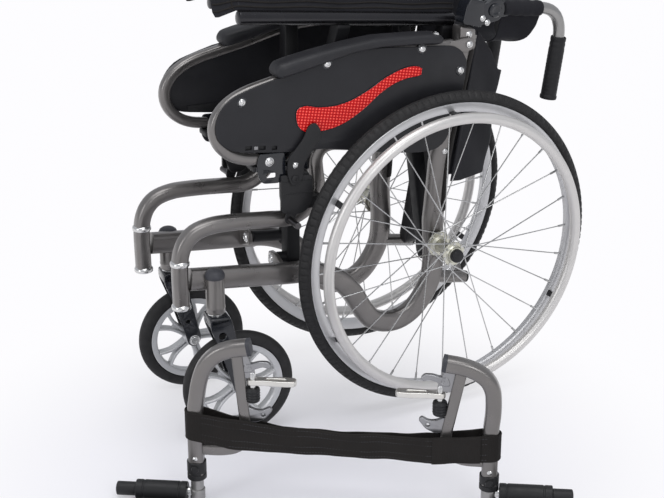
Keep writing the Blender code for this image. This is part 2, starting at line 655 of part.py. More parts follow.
# Back cloth above the hinges: on the folding canes, folded in an M.
cane_way = Vector((0, cos(CANE_DROP), -sin(CANE_DROP)))
cane_under = Vector((0, -sin(CANE_DROP), -cos(CANE_DROP)))
cane_mid = Vector((FRAME_X, 180, 732.2))
quarter_depth = np.sqrt(TOP_QUARTER ** 2 - (FRAME_X / 2) ** 2)
for word, sign in (("left", 1), ("right", -1)):
    hang = Vector((sign * cane_mid.x, cane_mid.y, cane_mid.z))
    valley = hang + Vector((-sign * FRAME_X / 2, 0, 0)) + cane_under * quarter_depth
    middle = valley + Vector((-sign * FRAME_X / 2, 0, 0)) - cane_under * quarter_depth
    for name, start, end, ends in (("top_cloth_outer", hang, valley, (58, 18)),
                                   ("top_cloth_inner", valley, middle, (18, 50))):
        way = (end - start).normalized()
        first = CANE_R + 2.4 if name.endswith("outer") else CLOTH_EDGE
        plate(f"{word}_{name}", [(-30, first), (ends[0], first), (ends[1], TOP_QUARTER - CLOTH_EDGE),
                                 (-30, TOP_QUARTER - CLOTH_EDGE)], CLOTH,
              columns(start, cane_way, way, cane_way.cross(way)))

# Leg supports, built in the plane of their bent tube and stood at both ends of the strap.
post_top = 168
along = Vector((*LEG_ALONG, 0)).normalized()
to_viewer = Vector((along.y, -along.x, 0))
leg_places = {
    "right": columns((*LEG_BASE, 0), along, (0, 0, 1), to_viewer),
    "left": columns((LEG_BASE[0] + along.x * LEG_APART, LEG_BASE[1] + along.y * LEG_APART, 0),
                    -along, (0, 0, 1), to_viewer),
}
BENDS = {
    "right": [(POST_S, 47), (POST_S, post_top), (6, 195), (12, 230), (22, 258), (40, 279), (62, 290),
              (95, 296)],
    "left": [(POST_S, 52), (POST_S, 166), (0.4, 190), (0.4, 215), (3, 236), (12.7, 255),
             (31.7, 269), (55, 277), (81, 281)],
}
STRUTS = {
    "right": [(76, 284), (88, 155), (86, 128), (74, 110), (52, 103), (8, 102)],
    "left": [(54, 268), (75, 158), (76, 132), (66, 113), (48, 105), (8, 103)],
}
heads = {}
for word, place in leg_places.items():
    head = place
    hooks = place
    heads[word] = place
    if word == "left":
        head = place @ Matrix.Translation((-13 * MM, -10 * MM, 0))
        heads[word] = head
        hooks = place @ Matrix.Translation((-11 * MM, -5 * MM, 0))
    bend = tube("leg_bend", BENDS[word], LEG_TUBE, place)
    strut = tube("leg_strut", STRUTS[word], 9.5, place)
    foot = 52 if word == "left" else 46
    collar = rod("leg_collar", 16.5, (POST_S, foot, 0), (POST_S, 80, 0), place)
    mount = plate("leg_mount", [(79, 246), (109, 243), (109, 252), (96, 290), (76, 290)], 7, head)
    hook = plate("leg_hook", [(86, 250), (100, 249), (114, 256), (140, 262), (152, 259), (157, 266),
                              (150, 273), (124, 274), (102, 268), (90, 268)], 9, head)
    low_hook = plate("leg_low_hook", [(84, 160), (108, 158), (124, 168), (134, 182), (128, 187),
                                      (112, 180), (100, 181), (84, 178)], 9, hooks)
    latch_pin = rod("latch_pin", 5, (101, 206, 0), (101, 250, 0), head)
    knob = rod("latch_knob", 12.5, (101, 197, 0), (101, 223, 0), head)
    hanger = fused(f"{word}_leg_hanger", [bend, strut, collar, mount, hook, low_hook, latch_pin, knob])
    cut(hanger, [rod("post_bore", 11.4, (POST_S, 30, 0), (POST_S, 162, 0), place)])
    lift = LEFT_LEG_LIFT if word == "left" else 0
    low = place @ Matrix.Translation((0, lift * MM, 0))
    inner = rod("leg_inner_tube", 11, (POST_S, BARREL_Z, 0), (POST_S, 152 - lift, 0), low)
    spindle = rod("barrel_spindle", 8, (POST_S, BARREL_Z, 0), (-112, BARREL_Z, 0), low)
    tip = rod("barrel_tip", 12, (-105, BARREL_Z, 0), (-139, BARREL_Z, 0), low)
    foot_ball = rod("tube_foot", 14, (POST_S, 4, 0), (POST_S, 25, 0), low)
    fused(f"{word}_leg_extension", [inner, spindle, tip, foot_ball])
    level = Matrix.Translation((0, BARREL_Z * MM, 0))
    tip_down = Matrix.Rotation(FOOT_DROP * (word == "left"), 4, "X")
    swung = low @ level @ tip_down @ level.inverted()
    barrel = rod("footplate_barrel", 17, (-15, BARREL_Z, 0), (-104, BARREL_Z, 0), swung, steps=16)
    tread = plate("footplate_tread", [(-116, 10), (-17, 10), (-17, 145), (-27, 160), (-104, 160),
                                      (-116, 146)], 9,
                  swung @ columns((0, 5.2, 0), (1, 0, 0), (0, 0, 1), (0, -1, 0)))
    footplate = fused(f"{word}_footplate", [barrel, tread])
    cut(footplate, [rod("barrel_bore", 8.6, (0, BARREL_Z, 0), (-118, BARREL_Z, 0), swung),
                    box("tip_room", (-125, 3, -13), (-104.4, 31, 13), swung)])
    plate(f"{word}_latch_lever", [(92, -5), (97, -10), (120, -8), (150, -10), (172, -9), (175, 0),
                                  (172, 9), (150, 10), (120, 8), (97, 10), (92, 5)], 9.5,
          head @ columns((0, 234, 0), (1, 0, 0), (0, 0, 1), (0, -1, 0)), [circle((101, 0), 5.6, 10)])

# Calf strap: one loop round both posts, sagging a little between them.
strap_place = leg_places["right"]
stations = [40, 110, 180, 250, 320, 390, 452]
far_post = LEG_APART - 2


def loop_round(radius):
    first = [(POST_S + radius * cos(a), radius * sin(a)) for a in np.linspace(pi / 2, 3 * pi / 2, 7)]
    last = [(far_post + radius * cos(a), radius * sin(a)) for a in np.linspace(-pi / 2, pi / 2, 7)]
    return [*first, *[(s, -radius) for s in stations], *last, *[(s, radius) for s in stations[::-1]]]


outer_ring, inner_ring = loop_round(17.5), loop_round(14.6)
count = len(outer_ring)
verts = []
for ring_points in (outer_ring, inner_ring):
    for s, n in ring_points:
        top = np.interp(s, [0, 60, 150, 250, 400, 499], [166, 155, 147, 144, 144, 153])
        bottom = np.interp(s, [0, 60, 150, 250, 400, 499], [122, 110, 104, 101, 100, 107])
        n *= np.interp(s, [20, 110, 180, 320, 390, 470], [1, 0.95, 0.6, 0.6, 0.95, 1])
        verts += [(s * MM, bottom * MM, n * MM), (s * MM, top * MM, n * MM)]
faces = []
for i in range(count):
    j = (i + 1) % count
    a, b, c, d = 2 * i, 2 * j, 2 * j + 1, 2 * i + 1
    e, f, g, h = (index + 2 * count for index in (a, b, c, d))
    faces += [(a, b, c, d), (f, e, h, g), (d, c, g, h), (b, a, e, f)]
mesh = bpy.data.meshes.new("calf_strap")
mesh.from_pydata(verts, [], faces)
strap = scene_object("calf_strap", mesh)
moved(strap, strap_place)

# One empty per joint, on its axis, and the root that all of them follow.
root = scene_object("wheelchair", None)
solids = [obj for obj in bpy.context.scene.objects if obj.type == "MESH"]
points = np.array([obj.matrix_world @ v.co for obj in solids for v in obj.data.vertices])
middle = (points.min(0) + points.max(0)) / 2


def pivot(name, origin, members, parent=root):
    empty = scene_object(name, None)
    empty.empty_display_size = 0.05
    empty.location = Vector(origin) * MM
    bpy.context.view_layer.update()
    empty.parent = parent
    empty.matrix_parent_inverse = parent.matrix_world.inverted()
    bpy.context.view_layer.update()
    for member in members:
        child = bpy.data.objects[member]
        child.parent = empty
        child.matrix_parent_inverse = empty.matrix_world.inverted()
    return empty


middle_y = hinge_z(0) + CROSS * (RAIL_Z0 - HINGE_Z0)
brace_a = pivot("joint_fold", (HINGE_X, 0, HINGE_Z0), ["brace_a"])
pivot("joint_right_seat_cloth", (-RAIL_X, 0, RAIL_Z0), ["right_seat_cloth"], brace_a)
brace_b = pivot("joint_cross", (0, 0, middle_y), ["brace_b"], brace_a)
pivot("joint_left_seat_cloth", (RAIL_X, 0, RAIL_Z0), ["left_seat_cloth"], brace_b)
right_frame = pivot("joint_right_frame", (-HINGE_X, 0, HINGE_Z0),
                    ["right_side_frame", "right_front_frame", "right_back_hinge",
                     "right_brake_body"], brace_b)
for word, sign, frame in (("left", 1, root), ("right", -1, right_frame)):
    if frame is root:
        for name in ("side_frame", "front_frame", "back_hinge", "brake_body"):
            bpy.data.objects[f"left_{name}"].parent = root
    pivot(f"joint_{word}_rear_wheel", (sign * WHEEL_X, 0, WHEEL_R),
          [f"{word}_{name}" for name in ("rear_tyre", "rear_rim", "handrim", "hub_and_spokes")], frame)
    swivel = pivot(f"joint_{word}_caster_swivel", (sign * CASTER_X, CASTER_Y, 250),
                   [f"{word}_caster_fork"], frame)
    turn = radians(CASTER_TURN)
    pivot(f"joint_{word}_caster_spin",
          (sign * CASTER_X - CASTER_TRAIL * sin(turn), CASTER_Y + CASTER_TRAIL * cos(turn), CASTER_R),
          [f"{word}_caster_wheel", f"{word}_caster_tyre"], swivel)
    pivot(f"joint_{word}_brake_lever", (sign * 135.7, -303, 489), [f"{word}_brake_lever"], frame)
    pivot(f"joint_{word}_brake_shoe", (sign * 130.2, *SHOE_PIVOT), [f"{word}_brake_shoe"], frame)
    pivot(f"joint_{word}_armrest", (sign * 123, *ARM_PIVOT),
          [f"{word}_{name}" for name in ("armrest_tube", "arm_pad", "side_panel", "reflector")], frame)
    cane = pivot(f"joint_{word}_back_fold", (sign * FRAME_X, *FOLD),
                 [f"{word}_push_handle", f"{word}_push_grip"], frame)
    outer = pivot(f"joint_{word}_top_cloth_outer", (sign * FRAME_X, cane_mid.y, cane_mid.z),
                  [f"{word}_top_cloth_outer"], cane)
    valley = Vector((sign * FRAME_X / 2, cane_mid.y, cane_mid.z)) + cane_under * quarter_depth
    pivot(f"joint_{word}_top_cloth_inner", valley, [f"{word}_top_cloth_inner"], outer)
    outer = pivot(f"joint_{word}_back_cloth_outer", (sign * back_low.x, back_low.y, back_low.z),
                  [f"{word}_back_cloth_outer"], frame)
    valley = Vector((sign * BACK_VALLEY_X, back_low.y, back_low.z)) + back_out * outer_depth
    pivot(f"joint_{word}_back_cloth_inner", valley, [f"{word}_back_cloth_inner"], outer)
legs = pivot("joint_leg_set", (*LEG_BASE, 0), ["right_leg_hanger", "left_leg_hanger", "calf_strap"])
for word, place in leg_places.items():
    low = place @ Matrix.Translation((0, LEFT_LEG_LIFT * MM * (word == "left"), 0))
    slider = pivot(f"joint_{word}_leg_extension", (place @ Vector((POST_S * MM, 0.1, 0))) / MM,
                   [f"{word}_leg_extension"], legs)
    pivot(f"joint_{word}_footplate", (low @ Vector((-0.059, BARREL_Z * MM, 0))) / MM,
          [f"{word}_footplate"], slider)
    pivot(f"joint_{word}_latch_lever", (heads[word] @ Vector((0.101, 0.234, 0))) / MM,
          [f"{word}_latch_lever"], legs)
root.location = (-middle[0], -middle[1], -points[:, 2].min())
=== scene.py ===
# %% [markdown]
# A folding wheelchair, folded up, with its two leg supports standing in front of it.
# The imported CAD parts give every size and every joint. This lesson dresses them: it draws
# each tube, wheel and cloth again with smooth surfaces, and gives each finish its own nodes.

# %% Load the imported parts
from math import atan2, cos, pi, radians, sin, tan

import bmesh
import bpy
import numpy as np
from mathutils import Matrix, Vector


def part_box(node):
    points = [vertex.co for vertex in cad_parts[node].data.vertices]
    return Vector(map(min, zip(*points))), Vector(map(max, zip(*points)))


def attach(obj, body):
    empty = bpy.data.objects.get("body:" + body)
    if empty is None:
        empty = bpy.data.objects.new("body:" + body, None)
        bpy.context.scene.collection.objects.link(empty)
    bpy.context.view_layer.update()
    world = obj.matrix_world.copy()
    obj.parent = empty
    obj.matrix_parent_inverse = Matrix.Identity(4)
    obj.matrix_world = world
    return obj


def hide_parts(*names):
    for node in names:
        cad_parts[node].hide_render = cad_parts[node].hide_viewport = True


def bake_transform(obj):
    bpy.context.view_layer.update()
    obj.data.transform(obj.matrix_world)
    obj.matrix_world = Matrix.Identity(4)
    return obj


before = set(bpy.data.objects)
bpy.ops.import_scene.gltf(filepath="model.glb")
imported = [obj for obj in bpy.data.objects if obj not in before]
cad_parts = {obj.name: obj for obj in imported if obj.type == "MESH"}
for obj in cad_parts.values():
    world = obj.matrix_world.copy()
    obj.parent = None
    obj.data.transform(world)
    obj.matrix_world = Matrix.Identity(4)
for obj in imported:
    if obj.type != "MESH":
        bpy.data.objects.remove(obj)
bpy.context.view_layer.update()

# %% [markdown]
# Every length below is in millimetres from the chair's own zero point: the middle between the
# rear wheels, under the axle, on the floor. +X is the chair's left side, -Y its front. The
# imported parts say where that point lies, so it is read from the two rear rims.

# %% Find the chair's own zero point
MM = 0.001


def middle_of(node):
    low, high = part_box(node)
    return (low + high) / 2


wheel_middles = middle_of("left_rear_rim"), middle_of("right_rear_rim")
ZERO = Vector(((wheel_middles[0].x + wheel_middles[1].x) / 2, wheel_middles[0].y, 0.0))
AT_ZERO = Matrix.Translation(ZERO)
MIRROR = AT_ZERO @ Matrix.Diagonal((-1, 1, 1, 1)) @ Matrix.Translation(-ZERO)


def spot(x, y, z):
    """A point given in millimetres from the chair's zero point, in metres."""
    return ZERO + Vector((x, y, z)) * MM


print("zero point:", tuple(round(value, 4) for value in ZERO))

# %% [markdown]
# The photograph was taken from high on the chair's left front, a little over three metres
# away. A long lens keeps the parallel tubes nearly parallel. Place, turn and focal length
# came from fitting the 610 mm rear wheel and the frame tubes to the picture.

# %% Camera at the photograph's viewpoint
CAMERA_AT = (2500.6, -1431.3, 1450.7)
LOOK_DOWN, LOOK_ROUND = 22.69, 63.07
FOCAL_LENGTH, FILM_WIDTH = 86.36, 36
lens = bpy.data.cameras.new("camera")
lens.lens = FOCAL_LENGTH
lens.sensor_width = FILM_WIDTH
lens.sensor_fit = "HORIZONTAL"
lens.clip_end = 60
camera = bpy.data.objects.new("camera", lens)
camera.location = spot(*CAMERA_AT)
camera.rotation_euler = (radians(90 - LOOK_DOWN), 0, radians(LOOK_ROUND))
bpy.context.scene.collection.objects.link(camera)
bpy.context.scene.camera = camera
bpy.context.scene.view_settings.view_transform = "Standard"
print("camera to chair, m:", round((camera.location - spot(0, 0, 500)).length, 2))

# %% [markdown]
# Every finish, the floor and the world are node trees. They could be clicked together in the
# shader editor. Written as code, a tree can be repeated for each paint, and one helper that
# adds a node and fills its inputs by name keeps it short.

# %% Helpers for node trees
def new_nodes(owner):
    """Turns on the nodes of a material or a world and empties its tree."""
    owner.use_nodes = True
    owner.node_tree.nodes.clear()
    return owner.node_tree


def node(tree, kind, inputs=(), **settings):
    """Adds a node, sets its properties, and sets or links its inputs by name."""
    made = tree.nodes.new(kind)
    for key, value in settings.items():
        setattr(made, key, value)
    for key, value in dict(inputs).items():
        socket = made.inputs[key]
        if isinstance(value, bpy.types.NodeSocket):
            tree.links.new(value, socket)
        else:
            socket.default_value = value
    return made


def combined(tree, operation, first, second):
    return node(tree, "ShaderNodeMath", {0: first, 1: second}, operation=operation).outputs[0]


def seen_by(tree, first, second):
    """1 for two kinds of ray of the Light Path node, 0 for all others."""
    path = node(tree, "ShaderNodeLightPath")
    return combined(tree, "MAXIMUM", path.outputs[first], path.outputs[second])


def blended(tree, share, first, second):
    return node(tree, "ShaderNodeMixShader", {0: share, 1: first.outputs[0],
                                              2: second.outputs[0]}).outputs[0]


print("node helpers ready")

# %% [markdown]
# The studio floor is pale and runs out into white. A photographer would curve a roll of paper
# up the wall. Here the floor stays flat, and away from the chair its material turns into plain
# white light that only the camera and reflections see. So it doesn't light the chair, and the
# matt floor near the chair still catches the shadows.

# %% Studio floor
FLOOR_SIZE, FLOOR_DROP = 30.0, 0.0005
SHADOW_MIDDLE = (0.06, -0.17, 0)
SHADOW_NEAR, SHADOW_FAR, LEAST_WHITE = 0.05, 0.8, 0.12


def floor_material():
    material = bpy.data.materials.new("studio_floor")
    tree = new_nodes(material)
    where = node(tree, "ShaderNodeTexCoord").outputs["Object"]
    away = node(tree, "ShaderNodeVectorMath", {0: where, 1: SHADOW_MIDDLE},
                operation="DISTANCE").outputs["Value"]
    far = node(tree, "ShaderNodeMapRange", {"Value": away, "From Min": SHADOW_NEAR,
                                            "From Max": SHADOW_FAR, "To Min": LEAST_WHITE},
               interpolation_type="SMOOTHSTEP").outputs["Result"]
    matt = node(tree, "ShaderNodeBsdfPrincipled", {"Base Color": (0.83, 0.825, 0.88, 1),
                                                   "Roughness": 0.6})
    white = node(tree, "ShaderNodeEmission", {"Color": (0.985, 0.98, 1, 1), "Strength": 1.0})
    seen = seen_by(tree, "Is Camera Ray", "Is Glossy Ray")
    share = combined(tree, "MULTIPLY", far, seen)
    node(tree, "ShaderNodeOutputMaterial", {"Surface": blended(tree, share, matt, white)})
    return material


def lay_floor():
    half = FLOOR_SIZE / 2
    corners = [(-half, -half, 0), (half, -half, 0), (half, half, 0), (-half, half, 0)]
    mesh = bpy.data.meshes.new("floor")
    mesh.from_pydata(corners, [], [(0, 1, 2, 3)])
    mesh.materials.append(floor_material())
    floor = bpy.data.objects.new("floor", mesh)
    floor.location = (0, 0, -FLOOR_DROP)
    bpy.context.scene.collection.objects.link(floor)


lay_floor()
print("floor laid, m wide:", FLOOR_SIZE)

# %% [markdown]
# The light is that of a product studio: a large soft lamp above, a smaller one from the
# viewer's side and one in front. The world adds a weak bluish light from all round, and is
# white for what the camera sees. Area lamps give the soft shadow edges of the photograph.

# %% World and lamps
LAMPS = (("top_lamp", (0.4, -0.4, 3.2), (0, 0, 0.3), (2.6, 2.0), 40),
         ("viewer_lamp", (3.0, -0.2, 1.9), (0, 0, 0.4), (1.2, 1.6), 20),
         ("front_lamp", (0.6, -3.2, 1.5), (0, 0, 0.4), (0.9, 1.6), 18))


def light_world():
    world = bpy.data.worlds.new("studio")
    bpy.context.scene.world = world
    tree = new_nodes(world)
    soft = node(tree, "ShaderNodeBackground", {"Color": (0.93, 0.95, 1, 1), "Strength": 0.6})
    white = node(tree, "ShaderNodeBackground", {"Color": (1, 1, 1, 1), "Strength": 1.0})
    seen = seen_by(tree, "Is Camera Ray", "Is Transmission Ray")
    node(tree, "ShaderNodeOutputWorld", {"Surface": blended(tree, seen, soft, white)})


def hang_lamp(name, place, target, size, power):
    lamp = bpy.data.lights.new(name, "AREA")
    lamp.shape = "RECTANGLE"
    lamp.size, lamp.size_y = size
    lamp.energy = power
    made = bpy.data.objects.new(name, lamp)
    made.location = place
    made.rotation_euler = (Vector(target) - Vector(place)).to_track_quat("-Z", "Y").to_euler()
    bpy.context.scene.collection.objects.link(made)


light_world()
for lamp_row in LAMPS:
    hang_lamp(*lamp_row)
print("lamps:", len(LAMPS))

# %% [markdown]
# No real surface has one even colour. Each finish here starts from the same few nodes: a noise
# blends two near colours in patches, a second one varies how rough the surface is, and a fine
# one raises its grain. Noise in the object's own metres needs no unwrapping, so it suits
# hundreds of small pieces. A value that stays the same goes straight on the shader.

# %% Helpers for the finishes
def where_in(tree, turn=(0, 0, 0)):
    place = node(tree, "ShaderNodeTexCoord").outputs["Object"]
    return node(tree, "ShaderNodeMapping", {"Vector": place, "Rotation": turn}).outputs[0]


def noise_in(tree, scale, detail=3.0):
    return node(tree, "ShaderNodeTexNoise", {"Vector": where_in(tree), "Scale": scale,
                                             "Detail": detail}).outputs["Fac"]


def bands_in(tree, where, axis, width, **inputs):
    """Waves along one axis, one for each width in metres."""
    return node(tree, "ShaderNodeTexWave", {"Vector": where, "Scale": pi / width / 10, **inputs},
                wave_type="BANDS", bands_direction=axis).outputs["Fac"]


def raise_bump(tree, shader, height, strength, depth):
    bump = node(tree, "ShaderNodeBump", {"Height": height, "Strength": strength,
                                         "Distance": depth})
    tree.links.new(bump.outputs[0], shader.inputs["Normal"])


def shader_for(name, colour, roughness, metallic=0.0, **sockets):
    material = bpy.data.materials.new(name)
    tree = new_nodes(material)
    shader = node(tree, "ShaderNodeBsdfPrincipled", {"Base Color": (*colour, 1),
                                                     "Roughness": roughness,
                                                     "Metallic": metallic})
    for key, value in sockets.items():
        shader.inputs[key.replace("_", " ")].default_value = value
    node(tree, "ShaderNodeOutputMaterial", {"Surface": shader.outputs[0]})
    return material, tree, shader


def finish_of(name, colours, patch, roughness, wear=None, metallic=0.0, **sockets):
    """Two colours in patches; wear is a noise's scale and detail, and the roughness it gives."""
    material, tree, shader = shader_for(name, colours[0], roughness, metallic, **sockets)
    mixed = node(tree, "ShaderNodeMix", {0: noise_in(tree, *patch)}, data_type="RGBA")
    for socket, colour in zip((6, 7), colours):
        mixed.inputs[socket].default_value = (*colour, 1)
    tree.links.new(mixed.outputs[2], shader.inputs["Base Color"])
    if wear:
        scale, detail, smooth, rough = wear
        spread = node(tree, "ShaderNodeMapRange", {"Value": noise_in(tree, scale, detail),
                                                   "From Min": 0.3, "From Max": 0.7,
                                                   "To Min": smooth, "To Max": rough})
        tree.links.new(spread.outputs["Result"], shader.inputs["Roughness"])
    return material, tree, shader


print("finish helpers ready")

# %% [markdown]
# The tubes have a warm grey metallic lacquer. Its colour drifts a little, tiny flakes catch
# the light, and handling has dulled it in patches. A thin clear coat over a metallic shader
# gives both the flakes and the wet shine. Push handles and seat rails have paints of their own.

# %% Metallic lacquer of the frame
def lacquer(name, dark, light, roughness=0.3):
    material, tree, shader = finish_of(
        name, (dark, light), (9.0, 3.0), roughness, (38.0, 5.0, roughness - 0.05, roughness + 0.1),
        0.82, Coat_Weight=0.35, Coat_Roughness=0.12)
    raise_bump(tree, shader, noise_in(tree, 2600.0, 1.0), 0.03, 0.0001)
    return material


frame_paint = lacquer("frame_paint", (0.165, 0.156, 0.152), (0.225, 0.214, 0.208))
cane_paint = lacquer("cane_paint", (0.27, 0.265, 0.26), (0.36, 0.355, 0.35), 0.34)
rail_paint = lacquer("rail_paint", (0.02, 0.02, 0.024), (0.033, 0.032, 0.036), 0.24)
print("lacquers:", frame_paint.name, cane_paint.name, rail_paint.name)

# %% [markdown]
# The black pieces differ mostly in how they shine: the hinges and forks are glossy paint, the
# side panels are smooth moulded sheet, and grips and small mouldings are grained. One function
# makes them all, and the size and depth of the grain tell them apart.

# %% Black paint and mouldings
def black_moulding(name, colour, roughness, grain, depth, coat=0.0, gloss=0.3):
    worn = tuple(value * 1.7 for value in colour)
    material, tree, shader = finish_of(
        name, (colour, worn), (14.0, 4.0), roughness,
        (60.0, 4.0, roughness - 0.06, roughness + 0.08), Coat_Weight=coat, Coat_Roughness=0.1,
        Specular_IOR_Level=gloss)
    raise_bump(tree, shader, noise_in(tree, grain, 2.0), 0.25, depth)
    return material


gloss_black = black_moulding("gloss_black", (0.008, 0.009, 0.012), 0.2, 400.0, 0.0001, 0.6)
black_plastic = black_moulding("black_plastic", (0.012, 0.012, 0.013), 0.45, 1800.0, 0.0002)
panel_plastic = black_moulding("panel_plastic", (0.0125, 0.0125, 0.0145), 0.4, 900.0, 0.00008)
grip_rubber = black_moulding("grip_rubber", (0.011, 0.011, 0.012), 0.55, 2200.0, 0.0003)
brace_black = black_moulding("brace_black", (0.007, 0.007, 0.008), 0.46, 700.0, 0.0001, gloss=0.22)
cap_rubber = black_moulding("cap_rubber", (0.035, 0.036, 0.042), 0.5, 1500.0, 0.0002)
print("finishes so far:", len(bpy.data.materials))

# %% [markdown]
# Bare metal: clear-anodised aluminium on rim and handrim, plain steel spokes, zinc-plated
# hub flanges with a yellow tinge, and bright plated bolts. Fine noise dulls them in spots, as
# handling does. Anodising is slightly milky, so rim and handrim are not fully metallic.

# %% Bare metals
def bare_metal(name, first, second, roughness, grain=300.0, patch=25.0, metallic=1.0):
    material, tree, shader = finish_of(
        name, (first, second), (patch, 4.0), roughness,
        (grain, 3.0, roughness - 0.03, roughness + 0.04), metallic)
    raise_bump(tree, shader, noise_in(tree, grain * 4, 2.0), 0.03, 0.00004)
    return material


rim_metal = bare_metal("rim_metal", (0.6, 0.6, 0.61), (0.68, 0.68, 0.69), 0.36, metallic=0.6)
handrim_metal = bare_metal("handrim_metal", (0.62, 0.605, 0.59), (0.69, 0.675, 0.66), 0.38,
                           metallic=0.6)
spoke_steel = bare_metal("spoke_steel", (0.5, 0.5, 0.5), (0.6, 0.6, 0.6), 0.26)
zinc_plate = bare_metal("zinc_plate", (0.56, 0.54, 0.42), (0.66, 0.66, 0.62), 0.36, 200.0, 90.0)
bolt_steel = bare_metal("bolt_steel", (0.62, 0.62, 0.62), (0.72, 0.72, 0.72), 0.22)
lever_metal = bare_metal("lever_metal", (0.66, 0.64, 0.6), (0.76, 0.75, 0.72), 0.36)
hook_metal = bare_metal("hook_metal", (0.27, 0.27, 0.28), (0.37, 0.37, 0.385), 0.38)
gun_metal = bare_metal("gun_metal", (0.075, 0.072, 0.075), (0.12, 0.115, 0.12), 0.33)
print("finishes so far:", len(bpy.data.materials))

# %% [markdown]
# Most of the chair is bent tube, flat plate and turned parts. Each kind gets one builder, and
# each builder takes millimetres in a local frame: a matrix that says where local x, y and z
# run. A part is then drawn flat, as on a drawing, and the frame puts it in its place.

# %% Frames: where local x, y and z run
LEFTWARD = (1, 0, 0)
FRAME_X = 104
TOE_IN = radians(1.17)
SLOPE = radians(7)


def axes(origin, x, y, z):
    matrix = Matrix.Identity(4)
    for column, way in enumerate((x, y, z)):
        for row in range(3):
            matrix[row][column] = way[row]
    matrix.translation = spot(*origin)
    return matrix


def side_plane(x):
    """Local x runs back, local y up and local z out to the chair's left."""
    return axes((x, 0, 0), (0, 1, 0), (0, 0, 1), LEFTWARD)


def facing(origin, along=LEFTWARD):
    """A frame whose local z runs along a direction."""
    turn = Vector((0, 0, 1)).rotation_difference(Vector(along)).to_matrix().to_4x4()
    return Matrix.Translation(spot(*origin)) @ turn


def shift(x, y, z):
    """A move in millimetres."""
    return Matrix.Translation(Vector((x, y, z)) * MM)


about = Matrix.Translation(spot(FRAME_X, -20, 0))
frame_plane = about @ Matrix.Rotation(-TOE_IN, 4, "Z") @ about.inverted() @ side_plane(FRAME_X)
print("the side frames stand this far apart, mm:", 2 * FRAME_X)

# %% [markdown]
# A finished mesh becomes a piece in one call: it gets a finish and a body to ride on, and the
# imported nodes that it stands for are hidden. Pieces of the left half are then copied through
# the mirror, so both sides always agree.

# %% From mesh to piece, and its mirror image
SIDES = (("left", 1), ("right", -1))
given = {}


def piece(name, mesh, finish, body, nodes=(), slot=None, sharp=32):
    """Edges that turn more than sharp degrees stay crisp; the rest is shaded smooth.

    What a piece was given is noted, so that its mirror image can be given the same.
    """
    mesh.name = name
    mesh.shade_smooth()
    mesh.set_sharp_from_angle(angle=radians(sharp))
    mesh.materials.clear()
    mesh.materials.append(finish)
    made = bpy.data.objects.new(name, mesh)
    bpy.context.scene.collection.objects.link(made)
    if body:
        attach(made, body)
    if nodes:
        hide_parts(*nodes)
    given[name] = body, nodes, slot
    return made


def other_side(text):
    """The name of the same thing on the chair's right."""
    return text.replace("left_", "right_", 1)


def mirror_of(made):
    body, nodes, slot = given[made.name]
    mesh = made.data.copy()
    mesh.transform(MIRROR)
    mesh.flip_normals()
    return piece(other_side(made.name), mesh, made.data.materials[0], body and other_side(body),
                 [other_side(name) for name in nodes], slot)


def both(*args, **options):
    made = piece(*args, **options)
    return made, mirror_of(made)


def report(what):
    """Says how many pieces are made so far, after each step."""
    print(what, "made, pieces so far:", len(given))


print("piece helpers ready")

# %% [markdown]
# A bent tube is a section carried along a path. The path goes through its named points on a
# Catmull-Rom curve, which needs only the points where the real tube bends. Two extra points in
# each long straight run keep that straight.

# %% The path of a bent tube
def smooth_path(points, spacing=8.0, straight=90.0):
    rows = [np.array(point, float) for point in points]
    full = [rows[0]]
    for start, end in zip(rows, rows[1:]):
        if np.linalg.norm(end - start) > straight:
            full += [start + (end - start) * 0.2, start + (end - start) * 0.8]
        full.append(end)
    made = [full[0]]
    for i in range(len(full) - 1):
        start, end = full[i], full[i + 1]
        before = full[i - 1] if i else 2 * start - end
        after = full[i + 2] if i + 2 < len(full) else 2 * end - start
        gaps = [np.sqrt(np.linalg.norm(b - a)) for a, b in ((before, start), (start, end),
                                                            (end, after))]
        low = (start - before) / gaps[0] - (end - before) / (gaps[0] + gaps[1])
        low = (low + (end - start) / gaps[1]) * gaps[1]
        high = (end - start) / gaps[1] - (after - start) / (gaps[1] + gaps[2])
        high = (high + (after - end) / gaps[2]) * gaps[1]
        steps = max(1, round(np.linalg.norm(end - start) / spacing))
        for t in np.arange(1, steps + 1) / steps:
            made.append((2 * t ** 3 - 3 * t ** 2 + 1) * start + (t ** 3 - 2 * t ** 2 + t) * low
                        + (3 * t ** 2 - 2 * t ** 3) * end + (t ** 3 - t ** 2) * high)
    return made


print("path builder ready")

# %% [markdown]
# Blender's own bevelled curve could make a tube too. Here the mesh is built ring by ring,
# because the ends can then swell into a dome, and the section can be an oval or a softened
# square, as the drawn frame tubes are.

# %% Tubes
def ring_of(half_side, half_up=None, count=28, square=1.0):
    """An oval section; square under 1 makes it boxier."""
    half_up = half_side if half_up is None else half_up
    angles = np.linspace(0, 2 * pi, count, endpoint=False)
    return [(half_side * np.sign(cos(a)) * abs(cos(a)) ** square,
             half_up * np.sign(sin(a)) * abs(sin(a)) ** square) for a in angles]


def quads(rows, count, rows_closed, count_closed=True):
    """The faces between rows of points, with the last row or column joined to the first."""
    faces = []
    for i in range(rows if rows_closed else rows - 1):
        for j in range(count if count_closed else count - 1):
            right, below = (j + 1) % count, (i + 1) % rows * count
            faces.append((i * count + j, i * count + right, below + right, below + j))
    return faces


def settled(mesh, place, merge=1e-6):
    """Puts a mesh in its place, merges points that lie together, turns every face outward."""
    mesh.transform(place)
    work = bmesh.new()
    work.from_mesh(mesh)
    bmesh.ops.remove_doubles(work, verts=work.verts, dist=merge)
    bmesh.ops.recalc_face_normals(work, faces=work.faces)
    if work.calc_volume(signed=True) < 0:
        bmesh.ops.reverse_faces(work, faces=work.faces)
    work.to_mesh(mesh)
    work.free()
    return mesh


